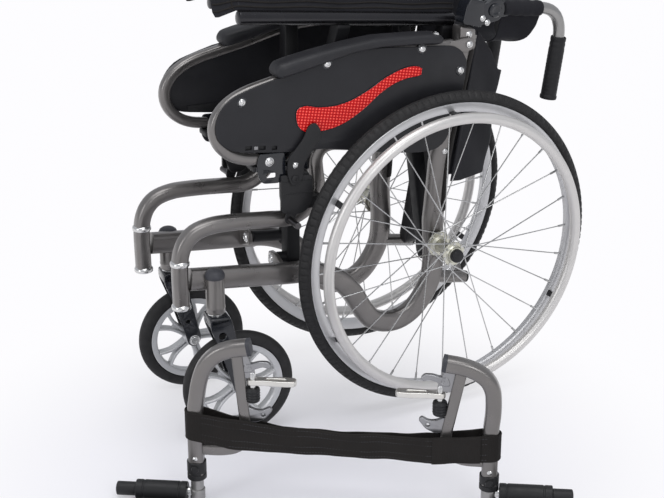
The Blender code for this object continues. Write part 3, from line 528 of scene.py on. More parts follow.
def mesh_of(name, points, faces, place, merge=1e-6):
    mesh = bpy.data.meshes.new(name)
    mesh.from_pydata(points, [], faces)
    return settled(mesh, place, merge)


def tube(path, section, place, side=(0, 0, 1), dome=0.0, sizes=None, closed=False):
    """Carries the section along the path; dome is how far the two ends swell out."""
    path = [Vector((*point, 0.0)[:3]) for point in path]
    count = len(path)
    side = Vector(side)
    ways = []
    for i in range(count):
        start = path[i - 1] if closed or i else path[0]
        end = path[(i + 1) % count] if closed or i + 1 < count else path[-1]
        ways.append((end - start).normalized())
    stations = [(path[i], ways[i], 1.0 if sizes is None else sizes[i]) for i in range(count)]
    if dome:
        for at, sign in ((0, -1), (-1, 1)):
            tip, way, size = stations[at]
            bulge = [(tip + way * sign * dome * t, way, size * np.sqrt(1 - t * t))
                     for t in (0.4, 0.75, 0.95)]
            stations = bulge[::-1] + stations if at == 0 else stations + bulge
    points = []
    for centre, way, size in stations:
        across = (side - way * side.dot(way)).normalized()
        out = way.cross(across)
        points += [(centre + across * u * size + out * v * size) * MM for u, v in section]
    n = len(section)
    faces = quads(len(stations), n, closed)
    if not closed:
        faces += [tuple(range(n))[::-1], tuple(range(len(points) - n, len(points)))]
    return mesh_of("tube", points, faces, place)


print("tube builder ready")

# %% [markdown]
# The side frame. Its long oval tube starts at the caster's housing, dips under the axle in a
# swan neck and climbs to the push handle. It is drawn as an oval carried along the bent path,
# in the plane of the frame, which stands a little toed in.

# %% Side frame: the oval tube
SWAN = [(-491.3, 317.3), (-262, 289.2), (-224, 275.5), (-195, 258), (-171, 231), (-151, 196),
        (-131, 170), (-103, 157), (-73, 156), (-43, 170), (-20, 196), (-4, 229), (1, 273),
        (-2, 348), (8, 463), (32.5, 583), (57.5, 700)]
both("left_swan_tube", tube(smooth_path(SWAN), ring_of(13, 20, 40, 0.6), frame_plane), frame_paint,
     "left_frame", ["left_side_frame"], "frame_paint")
report("oval tubes")

# %% [markdown]
# Housings, caps, axles, tyres and rims are round. Each is half of its profile spun round an
# axis, as on a lathe. A straight round bar is simply a short tube.

# %% Turned parts and bars
def turned(profile, place, steps=48, closed=False, pattern=None):
    """Pairs of (radius, height) turned round local z; pattern may move a point of a step."""
    points = []
    for i in range(steps):
        angle = 2 * pi * i / steps
        for j, (radius, height) in enumerate(profile):
            if pattern:
                radius, height = pattern(i, j, radius, height)
            points.append((radius * cos(angle) * MM, radius * sin(angle) * MM, height * MM))
    return mesh_of("turned", points, quads(steps, len(profile), True, closed), place)


def rod(start, end, radius, dome=0.0, count=24):
    """A straight round bar between two points of the chair."""
    start, end = Vector(start), Vector(end)
    way = (end - start).normalized()
    side = Vector((0, 0, 1)) if abs(way.z) < 0.9 else Vector((0, 1, 0))
    return tube([start, start.lerp(end, 0.02), end.lerp(start, 0.02), end],
                ring_of(radius, count=count), AT_ZERO, side, dome)


print("lathe and bar builders ready")

# %% [markdown]
# At its front end the tube carries the upright housing of the caster, with a rubber cap on
# top. The axle of the rear wheel stands out through a welded boss, and a short stub runs back
# below it, to press with a foot when the chair is tipped.

# %% Side frame: caster housing, axle and rear stub
WHEEL_R, AXLE_R = 305, 6
CASTER_X, CASTER_Y = 112, -450
STUB_R = 12
housing_place = Matrix.Translation(spot(CASTER_X, CASTER_Y, 0))
housing = turned([(0, 253), (15.5, 253), (17, 254.5), (17, 262), (17.6, 263), (17.6, 266), (17, 267),
                  (17, 322), (0, 322)], housing_place)
both("left_caster_housing", housing, frame_paint, "left_frame")
cap = turned([(0, 320), (17.6, 320), (18, 321.5), (18, 326), (17.2, 328), (15.4, 331.5),
              (11.6, 334.3), (6, 335.8), (0, 336)], housing_place)
both("left_housing_cap", cap, cap_rubber, "left_frame")
boss = turned([(0, 0), (15, 0), (15, 1.5), (13.4, 13), (0, 13)], facing((108, 0, WHEEL_R)))
both("left_axle_boss", boss, frame_paint, "left_frame")
axle = turned([(0, 0), (AXLE_R, 0), (AXLE_R, 80), (0, 80)], facing((110, 0, WHEEL_R)), 24)
both("left_axle", axle, bolt_steel, "left_frame")
axle_cap = turned([(0, 190.5), (12, 190.5), (12.6, 191.5), (12.6, 194.5), (11.4, 197), (8, 198.6),
                   (0, 199)], facing((0, 0, WHEEL_R)), 32)
both("left_axle_cap", axle_cap, black_plastic, "left_frame")
both("left_rear_stub", rod((FRAME_X, 6, 228.6), (FRAME_X, 71, 216.1), STUB_R), frame_paint,
     "left_frame")
both("left_stub_plug", rod((FRAME_X, 68, 216.7), (FRAME_X, 75.5, 215.2), STUB_R - 0.8, dome=1.8),
     black_plastic, "left_frame")
report("housings, axles and stubs")

# %% [markdown]
# Plates, lugs, hooks and side panels are flat sheets with shaped edges. A filled 2D curve
# makes them well: it cuts the holes by itself, and its bevel breaks the edges, where metal and
# plastic catch the light. Boxes are bevelled cubes, and a bolt head is a small turned dome.

# %% Plates, boxes and bolt heads
def circle(centre, radius, steps=20):
    return [(centre[0] + radius * cos(2 * pi * i / steps),
             centre[1] + radius * sin(2 * pi * i / steps)) for i in range(steps)]


def soft_corners(outline, radius):
    """Rounds each corner with a short curve."""
    made = []
    for i, corner in enumerate(outline):
        corner = Vector(corner)
        before, after = Vector(outline[i - 1]), Vector(outline[(i + 1) % len(outline)])
        to_before, to_after = before - corner, after - corner
        room = min(radius, to_before.length * 0.45, to_after.length * 0.45)
        start = corner + to_before.normalized() * room
        end = corner + to_after.normalized() * room
        for t in np.linspace(0, 1, 5):
            made.append(tuple((1 - t) ** 2 * start + 2 * t * (1 - t) * corner + t * t * end))
    return made


def plate(outline, thick, place, holes=(), corner=4.0, edge=0.8):
    """A flat plate in local xy, half its thickness each way."""
    curve = bpy.data.curves.new("plate", "CURVE")
    curve.dimensions = "2D"
    rings = [soft_corners(outline, corner) if corner else outline, *holes]
    for ring in rings:
        spline = curve.splines.new("POLY")
        spline.points.add(len(ring) - 1)
        for point, at in zip(spline.points, ring):
            point.co = (at[0] * MM, at[1] * MM, 0, 1)
        spline.use_cyclic_u = True
    curve.fill_mode = "BOTH"
    curve.extrude = (thick / 2 - edge) * MM
    curve.bevel_depth = edge * MM
    curve.bevel_resolution = 2
    curve.offset = -edge * MM
    holder = bpy.data.objects.new("plate", curve)
    bpy.context.scene.collection.objects.link(holder)
    bpy.context.view_layer.update()
    mesh = bpy.data.meshes.new_from_object(holder.evaluated_get(
        bpy.context.evaluated_depsgraph_get()))
    bpy.data.objects.remove(holder, do_unlink=True)
    bpy.data.curves.remove(curve)
    return settled(mesh, place)


def block(low, high, place=AT_ZERO, edge=2.0):
    """A box with rounded edges between two corners."""
    low, high = Vector(low), Vector(high)
    work = bmesh.new()
    bmesh.ops.create_cube(work, size=1)
    size = high - low
    for vert in work.verts:
        vert.co = Vector([(low[i] + high[i]) / 2 + vert.co[i] * size[i] for i in range(3)]) * MM
    bmesh.ops.bevel(work, geom=work.edges[:], offset=edge * MM, segments=3, affect="EDGES",
                    profile=0.5)
    mesh = bpy.data.meshes.new("block")
    work.to_mesh(mesh)
    work.free()
    return settled(mesh, place)


def bolt_head(place, radius=6.0, high=3.5, washer=0.0):
    """A domed bolt head with a socket, standing on a washer."""
    rim = radius + washer
    profile = [(0, -1.5), (rim, -1.5), (rim, 0.4), (radius, 0.9), (radius, 1.4),
               (radius * 0.86, high * 0.72), (radius * 0.62, high * 0.94),
               (radius * 0.42, high), (radius * 0.34, high * 0.55), (0, high * 0.5)]
    return turned(profile, place, 20)


def dome_bolt(centre, radius=6.0, high=3.5, washer=0.0, way=LEFTWARD):
    """The same on a surface of the chair, at this point."""
    return bolt_head(facing(centre, way), radius, high, washer)


def joined(*meshes):
    """One mesh of several, which are used up."""
    work = bmesh.new()
    for mesh in meshes:
        work.from_mesh(mesh)
        bpy.data.meshes.remove(mesh)
    made = bpy.data.meshes.new("joined")
    work.to_mesh(made)
    work.free()
    return made


print("plate, box and bolt builders ready")

# %% [markdown]
# The braces under the seat hinge on two lugs of each side frame. The hinge line falls by seven
# degrees to the rear, as the seat does, so one function gives its height at any point.

# %% Side frame: hinge lugs and pins
HINGE_X, RAIL_X = 57, 62
HINGE_Z0, RAIL_Z0 = 272, 722.35
PIN_R = 6
FRONT_LUG_Y, REAR_LUG_Y = -311, 64


def hinge_z(y):
    return HINGE_Z0 - tan(SLOPE) * y


def rail_z(y):
    return RAIL_Z0 - tan(SLOPE) * y


FRONT_LUG = [(42, hinge_z(FRONT_LUG_Y) - 12), (94, 283), (98, 313), (70, hinge_z(FRONT_LUG_Y) + 14),
             (46, hinge_z(FRONT_LUG_Y) + 12)]
REAR_LUG = [(45, hinge_z(REAR_LUG_Y) - 12), (97, 211), (109, 222), (100, 232),
            (70, hinge_z(REAR_LUG_Y) + 12), (48, hinge_z(REAR_LUG_Y) + 12)]
for word, outline, y, pin_ends in (("front", FRONT_LUG, FRONT_LUG_Y, (FRONT_LUG_Y, -288)),
                                   ("rear", REAR_LUG, REAR_LUG_Y, (42, REAR_LUG_Y))):
    across = axes((0, y, 0), LEFTWARD, (0, 0, 1), (0, -1, 0))
    both(f"left_{word}_lug", plate(outline, 8, across, corner=6), frame_paint, "left_frame")
    pin = rod(*((HINGE_X, end, hinge_z(end)) for end in pin_ends), PIN_R)
    both(f"left_{word}_hinge_pin", pin, bolt_steel, "left_frame")
    way = Vector((0, -1 if y < 0 else 1, 0))
    bolt = dome_bolt(Vector((HINGE_X, y, hinge_z(y))) + way * 4, 8, 4, 2, way)
    both(f"left_{word}_hinge_bolt", bolt, bolt_steel, "left_frame")
report("hinge lugs")

# %% [markdown]
# The front frame is one tube: up the front post that carries a leg support, back, up again
# behind the brake and back under the side panel to the upright. As it is bent in one piece,
# one carried section makes it. Two plated rings mark the leg support's seat on the post.

# %% Front frame
FRONT = [(-508, 265), (-508, 350), (-504, 372), (-495, 390), (-479, 404), (-448, 412),
         (-401, 411), (-337, 405), (-298, 402), (-272, 411), (-252, 429), (-243, 455),
         (-246, 486), (-247, 508), (-239, 524), (-220, 532), (-9.5, 506)]
both("left_front_tube", tube(smooth_path(FRONT), ring_of(14, 14, 40, 0.66), frame_plane),
     frame_paint, "left_frame", ["left_front_frame"], "frame_paint")
post = frame_plane @ shift(FRONT[0][0], 0, 0) @ Matrix.Rotation(-pi / 2, 4, "X")
for low, word in ((265, "foot"), (348, "high")):
    ring = turned([(13, low), (17, low), (17.5, low + 1), (17.5, low + 5), (16.6, low + 7),
                   (14.2, low + 9), (13, low + 9)], post, 32, closed=True)
    both(f"left_post_ring_{word}", ring, bolt_steel, "left_frame")
report("front frames")

# %% [markdown]
# Where the armrest comes down in front, a plate bracket and a plastic rest take it, and a
# glossy lock plate with a slot covers them from outside. The plates are outlines in the side
# view, which can be compared with the photograph, and the rest is a box.

# %% Armrest bracket and lock plate
LOCK_X = 127
BRACKET = [(-362, 512), (-337, 511), (-258, 488), (-240, 497), (-250, 520), (-340, 541),
           (-362, 538)]
both("left_arm_bracket", plate(BRACKET, 7, frame_plane, corner=8), gloss_black, "left_frame")
both("left_arm_stop", block((90, -376, 507), (123, -352, 517.7), edge=3), black_plastic, "left_frame")
LOCK = [(-366, 541), (-318, 538), (-316, 487), (-332, 483), (-361, 486), (-369, 499), (-371, 526)]
lock_slot = soft_corners([(-354, 495), (-336, 494), (-336, 503), (-354, 504.5)], 3)
both("left_arm_lock", joined(plate(LOCK, 3.4, side_plane(LOCK_X), [lock_slot], corner=6, edge=1),
                             block((120, -372, 508), (126, -354, 517.5), edge=1)),
     gloss_black, "left_frame")
both("left_bracket_bolt", dome_bolt((128.6, -348, 525), 6.6, 3.6, 1.6), bolt_steel, "left_frame")
both("left_upright_bolt", dome_bolt((116.5, 13, 484), 6, 3.5, 1.5), bolt_steel, "left_frame")
report("armrest brackets")

# %% [markdown]
# On top of the upright sits the hinge that lets the push handle fold down. Its black cast
# jaw takes the handle's tongue between two cheeks, and a pin goes through all three. A
# painted clamp plate closes round the upright just below. They could be carved from blocks,
# but a plate with wide bevels has the same soft cast edges in one call.

# %% Back hinge
TOP_Y, TOP_Z = 57.5, 700
FOLD = (108, 739)
LEAN = radians(12)


def on_upright(side_way, up):
    """A point of the side view, measured from the upright's top, across it and up along it."""
    return (TOP_Y + side_way * cos(LEAN) + up * sin(LEAN),
            TOP_Z - side_way * sin(LEAN) + up * cos(LEAN))


JAW = [on_upright(-20, 17), on_upright(20, 15), on_upright(23, 25), (86, 730), (87, 757),
       on_upright(-14, 66), on_upright(-19, 50)]
both("left_hinge_jaw", plate(JAW, 33, side_plane(FRAME_X), corner=5, edge=2.2), gloss_black,
     "left_frame", ["left_back_hinge"], "dark_plastic")
ear_round = circle(FOLD, 21, 32)
EAR = [on_upright(0, 20), on_upright(21, 20), *ear_round[-7:], *ear_round[:13], on_upright(0, 52)]
for word, x in (("inner", 91.5), ("outer", 116.5)):
    both(f"left_hinge_cheek_{word}", plate(EAR, 7.5, side_plane(x), corner=0, edge=1.2),
         gloss_black, "left_frame")
both("left_fold_pin", rod((86.8, *FOLD), (121.2, *FOLD), 5, dome=1), bolt_steel, "left_frame")
for number, (y, z) in enumerate(((83, 727), (93, 718)), 1):
    both(f"left_hinge_bolt_{number}", dome_bolt((120.2, y, z), 4.6, 3, 1), bolt_steel, "left_frame")
knob = [(0, 0), (12, 0), (13, 1), (13, 3), (11.4, 4.4), (8, 4.8), (6.4, 4), (0, 4)]
both("left_hinge_knob", turned(knob, facing((120.1, *FOLD)), 40), gloss_black, "left_frame")
CLAMP = [(38, 716), (69, 709), (71, 676), (61, 664), (37, 669)]
both("left_upright_clamp", plate(CLAMP, 29.6, side_plane(FRAME_X), corner=4, edge=2), frame_paint,
     "left_frame")
for number, (x, y, z) in enumerate(((118.6, 56, 700), (126.8, 53, 684)), 1):
    both(f"left_clamp_bolt_{number}", dome_bolt((x, y, z), 5.2, 3.4, 1.2), bolt_steel, "left_frame")
report("back hinges")

# %% [markdown]
# The push handle: a tube that runs back from the hinge and bends down into the grip. The
# grip is soft rubber with a thick collar on top, ribs for the hand and a flared rim. It is a
# turned profile, and a loop writes the ten ribs into it.

# %% Push handle and grip
CANE = [(133, 738), (223, 727), (240, 721), (253, 709), (260, 692), (261.5, 672), (257, 640)]
both("left_cane", tube(smooth_path(CANE), ring_of(11), side_plane(FRAME_X)), cane_paint, "left_cane",
     ["left_push_handle"], "cane_paint")
TONGUE = [*circle(FOLD, 18, 32)[8:25], (140, 722), (152, 728), (152, 744), (128, 755)]
both("left_cane_tongue", plate(TONGUE, 15, side_plane(FRAME_X), corner=0, edge=1.5), gloss_black,
     "left_cane")
grip_top, grip_end = Vector((FRAME_X, 261.9, 668)), Vector((FRAME_X, 244.8, 549))
grip_place = facing(grip_top, (grip_end - grip_top).normalized())
grip = [(11.4, 40), (13.6, 0), (14.6, 1.2), (14.7, 3), (14.7, 7), (14.2, 8.5), (14.1, 10), (14.6, 12),
        (14.8, 16), (14.5, 18), (14.3, 20), (14.7, 22.5), (15, 27), (14.9, 31), (14.8, 34)]
for rib in range(10):
    at = 36 + rib * 7.6
    grip += [(14.8, at), (15, at + 1.6), (15, at + 4.4), (14.8, at + 6)]
grip += [(15.2, 112), (16, 113.5), (16.2, 117), (15.4, 119.5), (9, 120.8), (0, 121)]
grips = both("left_grip", turned(grip, grip_place, 40), grip_rubber, "left_cane",
             ["left_push_grip"], "pad_foam")
report("push handles")

# %% [markdown]
# The armrest swings up about a stud on the outside of the upright. One bent tube carries the
# padded rest on top and the side panel outside. A flat pivot plate joins it to the stud.

# %% Armrest tube
ARM_X, PIVOT_X, ARM_PIVOT = 115, 123, (53, 684)
ARM = [(22, 685), (-19, 685.5), (-130, 695), (-190, 693), (-241, 682.5), (-279, 673.5), (-337, 662),
       (-383, 652), (-412, 640), (-431, 625), (-443, 605), (-444, 582), (-434, 560), (-415, 543),
       (-392, 533), (-364.5, 528)]
both("left_arm_tube", tube(smooth_path(ARM), ring_of(10, 10, 36, 0.66), side_plane(ARM_X), dome=3),
     frame_paint, "left_armrest", ["left_armrest_tube"], "frame_paint")
pivot_round = circle(ARM_PIVOT, 12, 24)
PIVOT_PLATE = [(14, 677), (40, 672), *pivot_round[18:], *pivot_round[:7], (40, 696), (14, 693)]
both("left_arm_pivot", plate(PIVOT_PLATE, 4, side_plane(PIVOT_X), [circle(ARM_PIVOT, 5.6)],
                             corner=0), frame_paint, "left_armrest")
both("left_pivot_stud", rod((110, *ARM_PIVOT), (127.4, *ARM_PIVOT), 5), bolt_steel, "left_frame")
report("armrest tubes")

# %% [markdown]
# The side panel keeps clothes off the wheel. It is moulded sheet with three slots in its front
# lower corner, a darker strip behind them and a small metal clip. Four bolts on plastic washers
# hold it to the tube. Its outline is smoothed first, and the plate builder cuts the slots.

# %% Side panel
PANEL_X, PANEL_FACE = 127.4, 129.2
PANEL = [(-343, 670), (-381, 660), (-418, 647), (-439, 625), (-447, 600), (-443, 578), (-431, 564),
         (-413, 553.5), (-366, 544.5), (-309, 537), (-250, 533), (-10, 498), (18, 532), (37, 590),
         (45, 634), (46, 657), (38, 672), (21, 684), (-11, 690), (-60, 694.5), (-130, 701),
         (-190, 700), (-241, 689), (-279, 680)]
slots = [[(y, z), (y + wide, z - 1), (y + wide, z + 6), (y, z + 7)]
         for y, z, wide in ((-393, 553, 12), (-367, 549.5, 12), (-343, 546, 10))]
panel = plate([point[:2] for point in smooth_path(PANEL + PANEL[:1], 12, 400)][:-1], 4,
              side_plane(PANEL_X), slots, corner=0, edge=1.2)
both("left_panel", panel, panel_plastic, "left_armrest", ["left_side_panel"], "panel_plastic")
STRIP = [(-396, 552), (-366, 547.2), (-330, 542.6), (-330, 560), (-396, 562)]
both("left_slot_strip", plate(STRIP, 1.4, side_plane(124.6), corner=1, edge=0.3), black_plastic,
     "left_armrest")
both("left_panel_clip", block((129, -377, 551.4), (130.8, -370, 557.4), edge=0.7), hook_metal,
     "left_armrest")
for number, (y, z) in enumerate(((-398, 640), (-236, 686), (-48, 689), (33, 639)), 1):
    ring = turned([(0, 0), (9.5, 0), (9.5, 0.6), (8.4, 1.3), (0, 1.3)], facing((PANEL_FACE, y, z)), 28)
    both(f"left_panel_washer_{number}", ring, gloss_black, "left_armrest")
    both(f"left_panel_bolt_{number}", dome_bolt((PANEL_FACE + 1.2, y, z), 6.4, 3.6), bolt_steel,
         "left_armrest")
report("side panels")

# %% [markdown]
# The wave on each side panel is red reflective tape: prisms in a net of darker lines.
# Two sets of bands, turned a little, cross in small leaning cells, and a ramp colours them;
# its palest stop is a painted highlight, the glint of the prisms.

# %% Red reflective tape
TAPE_TURN = radians(11)
PRISMS = (("Y", 0.0062), ("Z", 0.0052))


def reflective_tape(name):
    material, tree, shader = shader_for(name, (0.7, 0.015, 0.01), 0.42, 0.0, Coat_Weight=0.12,
                                        Coat_Roughness=0.1, Specular_IOR_Level=0.15)
    where = where_in(tree, turn=(TAPE_TURN, 0, 0))
    bands = [bands_in(tree, where, axis, width, Distortion=0.5, Detail=1.0, **{"Detail Scale": 40.0})
             for axis, width in PRISMS]
    cells = combined(tree, "MULTIPLY", *bands)
    ramp = node(tree, "ShaderNodeValToRGB", {"Fac": cells})
    # The dark stop draws the tape's net and the red stops its cells; the palest, pinkish stop at the
    # cells' peaks is painted highlight, the prisms' glint.
    tape_and_glint_stops = ((0.02, (0.4, 0.003, 0.005)), (0.16, (0.78, 0.01, 0.012)),
             (0.55, (0.9, 0.03, 0.025)), (0.95, (1.0, 0.24, 0.17)))
    for position, _ in tape_and_glint_stops[1:-1]:
        ramp.color_ramp.elements.new(position)
    for element, (position, colour) in zip(ramp.color_ramp.elements, tape_and_glint_stops):
        element.position = position
        element.color = (*colour, 1)
    tree.links.new(ramp.outputs["Color"], shader.inputs["Base Color"])
    raise_bump(tree, shader, cells, 0.3, 0.0003)
    return material


red_tape = reflective_tape("red_tape")
print("finishes so far:", len(bpy.data.materials))

# %% [markdown]
# The tape is stuck on the panel inside a thin raised border. Both come from one outline,
# which is smoothed as the panel's was: a plate inside, a thin tube round it.

# %% Reflector
WAVE = [(-297, 598), (-295, 612), (-282, 617), (-254, 611), (-221, 609), (-188, 615), (-152, 630),
        (-122, 646), (-92, 657), (-64, 660), (-48, 654), (-49, 643), (-76, 640), (-102, 634),
        (-132, 619), (-162, 597), (-192, 580), (-221, 570), (-254, 567), (-280, 570), (-293, 582)]
wave = [point[:2] for point in smooth_path(WAVE + WAVE[:1], 8, 400)][:-1]
tape = plate(wave, 1.6, side_plane(PANEL_FACE + 1.4), corner=0, edge=0.3)
both("left_tape", tape, red_tape, "left_armrest", ["left_reflector"], "reflector_red")
border = tube(wave, ring_of(1.5, 1.1, 10), side_plane(PANEL_FACE + 0.7), closed=True)
both("left_tape_frame", border, gloss_black, "left_armrest")
report("reflectors")

# %% [markdown]
# The arm pad is foam under a smooth skin. The skin's pores are small cells, so its relief
# comes from a Voronoi texture, which draws cells, and not from noise.

# %% Skin of the pads
def pad_skin_of(name):
    material, tree, shader = finish_of(name, ((0.012, 0.012, 0.014), (0.024, 0.024, 0.028)),
                                       (8.0, 3.0), 0.5, (30.0, 4.0, 0.42, 0.6),
                                       Specular_IOR_Level=0.35)
    cells = node(tree, "ShaderNodeTexVoronoi", {"Vector": where_in(tree), "Scale": 900.0},
                 feature="DISTANCE_TO_EDGE").outputs["Distance"]
    raise_bump(tree, shader, cells, 0.3, 0.0003)
    return material


pad_skin = pad_skin_of("pad_skin")
print("finishes so far:", len(bpy.data.materials))

# %% [markdown]
# The pad itself is lofted: rings across it, each one flat below and crowned above, that pull
# in at both ends. A box would keep a straight top, and the real pad's rises to its middle.

# %% Arm pad
PAD_ENDS, PAD_HALF = (-334, -3), 23
PAD_TOP = [(-334, 695), (-320, 698.5), (-301, 702.5), (-260, 709), (-200, 716), (-140, 720.5),
           (-60, 716.5), (-20, 713), (-3, 709)]
PAD_FOOT = [(-334, 669), (-301, 674), (-254, 684), (-216, 692), (-190, 698), (-130, 701.5), (-60, 697.5),
            (-19, 693.5), (-3, 692)]


def round_off(reach, radius):
    """From 0 at an end to 1 where the rounding is over."""
    return np.sqrt(max(0.0, 1 - (1 - min(reach / radius, 1)) ** 2))


def loft_pad():
    first, last = PAD_ENDS
    ends = np.array([0.15, 1, 2.4, 4.4, 7, 10, 13.5, 18, 24])
    stations = np.concatenate([first + ends, np.linspace(first + 32, last - 32, 26),
                               (last - ends)[::-1]])
    points, n = [], 36
    for y in stations:
        low = np.interp(y, *zip(*PAD_FOOT))
        high = np.interp(y, *zip(*PAD_TOP))
        reach = min(y - first, last - y)
        half = PAD_HALF * (0.5 + 0.5 * round_off(reach, 22))
        tall = (high - low) / 2 * round_off(reach, 12)
        for angle in np.linspace(0, 2 * pi, n, endpoint=False):
            out = np.sign(cos(angle)) * abs(cos(angle)) ** 0.55 * half
            up = np.sign(sin(angle)) * abs(sin(angle)) ** (0.7 if sin(angle) > 0 else 0.5)
            crown = 1.0 - 0.08 * (out / PAD_HALF) ** 2
            points.append(Vector((y, (low + high) / 2 + up * tall * crown, out)) * MM)
    faces = quads(len(stations), n, False)
    faces += [tuple(range(n)), tuple(range(len(points) - n, len(points)))]
    return mesh_of("pad", points, faces, side_plane(ARM_X))


pads = both("left_pad", loft_pad(), pad_skin, "left_armrest", ["left_arm_pad"], "pad_foam", sharp=50)
pad_screw = dome_bolt((ARM_X + 8, -17, 712.2), 5.6, 2.4, 1, (0, 0.1, 1))
both("left_pad_screw", pad_screw, bolt_steel, "left_armrest")
report("arm pads")

# %% [markdown]
# The parking brake is a flat black box clamped to the front tube, under a ribbed cover. Its
# lever pushes a knurled steel rod against the tyre. The pieces are bevelled plates on two
# studs, and the box and the cover stay with the frame.

# %% Brake: box, cover and studs
BRAKE_X, COVER_X, LEVER_X, SHOE_X = 123, 132.9, 135.7, 130.2
LEVER_STUD, SHOE_STUD = (-303, 489), (-291, 470)
BRAKE_BOX = [(-326, 503), (-270, 495), (-268, 462), (-280, 430), (-290, 418), (-316, 419), (-326, 450)]
both("left_brake_box", plate(BRAKE_BOX, 9, side_plane(BRAKE_X), corner=9, edge=1.6), black_plastic,
     "left_frame", ["left_brake_body"], "dark_plastic")
both("left_brake_clamp", block((113.7, -278, 424), (127, -246, 448), edge=3), black_plastic, "left_frame")
both("left_lever_stud", rod((126, *LEVER_STUD), (137.6, *LEVER_STUD), 5), bolt_steel, "left_frame")
both("left_shoe_stud", rod((126, *SHOE_STUD), (132.6, *SHOE_STUD), 4), bolt_steel, "left_frame")
COVER = [(-328, 498), (-268, 490), (-266, 465), (-268, 440), (-281, 424), (-296, 420), (-328, 427)]
ribs = [tube([(-325, z + 3), (-297, z + 1.4), (-269, z)], ring_of(1.1, count=10),
             side_plane(COVER_X + 0.3), dome=1) for z in (482, 459)]
both("left_brake_cover", joined(plate(COVER, 1, side_plane(COVER_X), corner=6, edge=0.3),
                                block((127, -328, 430), (133.2, -326, 496), edge=0.6), *ribs),
     black_plastic, "left_frame")
report("brake boxes")

# %% [markdown]
# The lever and the shoe's arm turn on the two studs, so each rides on a body of its own. The
# rod's knurl is cut into its mesh: every other point of the gripping length sits lower.

# %% Brake: lever, arm and knurled rod
LEVER = [(-310, 476), (-296, 476), (-287, 490), (-285, 515), (-268, 536), (-251, 556), (-253, 574),
         (-263, 587), (-276, 582), (-287, 558), (-316, 528), (-318, 500)]
both("left_lever", plate(LEVER, 4, side_plane(LEVER_X), [circle(LEVER_STUD, 5.4)], corner=10, edge=1),
     black_plastic, "left_brake_lever", ["left_brake_lever"], "lever_steel")
both("left_lever_bolt", dome_bolt((LEVER_X + 2, -302, 514), 4.4, 3, 1), bolt_steel,
     "left_brake_lever")
both("left_lever_nut", dome_bolt((LEVER_X + 2, *LEVER_STUD), 7, 2.6), black_plastic, "left_brake_lever")
SHOE_ARM = [(-300, 478), (-282, 478), (-284, 462), (-303, 406), (-312, 402), (-321, 408), (-320, 418)]
both("left_shoe_arm", plate(SHOE_ARM, 4, side_plane(SHOE_X), [circle(SHOE_STUD, 4.4)], corner=6),
     black_plastic, "left_brake_shoe", ["left_brake_shoe"], "lever_steel")


def knurl(step, index, radius, height):
    """Lowers every other point of the gripping length, in a pattern that leans."""
    gripping = 6 < height < 32
    return (radius - 0.55, height) if gripping and (step + index) % 2 else (radius, height)


shoe_profile = [(0, 0), (5.4, 0), (6, 0.6), *[(6, at) for at in np.arange(2, 37, 1.5)], (6, 38.3),
               (5.3, 39), (0, 39)]
both("left_shoe_rod", turned(shoe_profile, facing((129, -312, 412)), 40, pattern=knurl),
     gun_metal, "left_brake_shoe", sharp=20)
report("brakes")

# %% [markdown]
# Rubber and the caster wheels' silver plastic. Tyre rubber is dull with paler dust on it, and
# the plastic has a little metallic paint in it. Both are the same few nodes again.

# %% Tyre rubber and caster plastic
def tyre_rubber_of(name):
    material, tree, shader = finish_of(name, ((0.011, 0.011, 0.012), (0.028, 0.027, 0.027)),
                                       (22.0, 6.0), 0.62, (90.0, 3.0, 0.5, 0.75),
                                       Specular_IOR_Level=0.3)
    raise_bump(tree, shader, noise_in(tree, 1100.0, 3.0), 0.2, 0.0003)
    return material


def silver_plastic_of(name):
    material, tree, shader = finish_of(name, ((0.46, 0.465, 0.475), (0.57, 0.575, 0.58)),
                                       (12.0, 3.0), 0.34, metallic=0.3)
    raise_bump(tree, shader, noise_in(tree, 1900.0), 0.12, 0.0002)
    return material


tyre_rubber = tyre_rubber_of("tyre_rubber")
silver_plastic = silver_plastic_of("silver_plastic")
print("finishes so far:", len(bpy.data.materials))

# %% [markdown]
# The rear wheel is all turned parts. The tyre's profile is spun in 560 steps, and every
# fourth step sinks its shoulder a little, which cuts the fine cross grooves of the tread.
# A bump texture would be lighter, but its grooves would vanish from the tyre's outline.

# %% Rear wheel: tyre and rim
WHEEL_X, TREAD_STEPS = 152, 560
GROOVE_EVERY, GROOVE_DEPTH = 4, 1.9
SHOULDER_LOW, SHOULDER_HIGH, SHOULDER_OUT = 294, 303.9, 3.6
wheel_place = facing((WHEEL_X, 0, WHEEL_R))


def tread(step, index, radius, height):
    """Cross grooves on the shoulders; those of one side stand between those of the other."""
    shoulder = SHOULDER_LOW < radius < SHOULDER_HIGH and abs(height) > SHOULDER_OUT
    if shoulder and (step + (GROOVE_EVERY // 2 if height > 0 else 0)) % GROOVE_EVERY == 0:
        return radius - GROOVE_DEPTH, height * 0.95
    return radius, height


def both_shoulders(half):
    """A tyre's whole profile from the half of it, which ends at the crown."""
    return [(radius, -height) for radius, height in half] + half[-2::-1]


half_tyre = [(277, 7.4), (284.6, 7.6), (286, 10.4), (288.5, 12.6), (291.5, 13.5), (293.8, 13.2),
             (294.6, 12.9), (297.4, 11.6), (300.2, 9.4), (302, 7), (303.2, 4.6), (303.9, 3.4),
             (303.2, 2.9), (303.2, 2.1), (304.8, 1.6), (305, 0)]
tyre = turned(both_shoulders(half_tyre), wheel_place, TREAD_STEPS, True, tread)
both("left_tyre", tyre, tyre_rubber, "left_rear_wheel", ["left_rear_tyre"], "tyre_rubber", sharp=24)
rim_profile = [(284, -11), (285, -10.4), (285, -8.4), (284, -8), (275.5, -8), (275.5, 8), (284, 8),
               (285, 8.4), (285, 10.4), (284, 11), (279.5, 10.4), (272.5, 8.6), (267.5, 6.8),
               (266.2, 5.2), (266, 0), (266.2, -5.2), (267.5, -6.8), (272.5, -8.6), (279.5, -10.4)]
both("left_rim", turned(rim_profile, wheel_place, 120, True), rim_metal, "left_rear_wheel",
     ["left_rear_rim"], "rim_metal")
report("tyres and rims")
print("tyre points:", len(tyre.vertices))

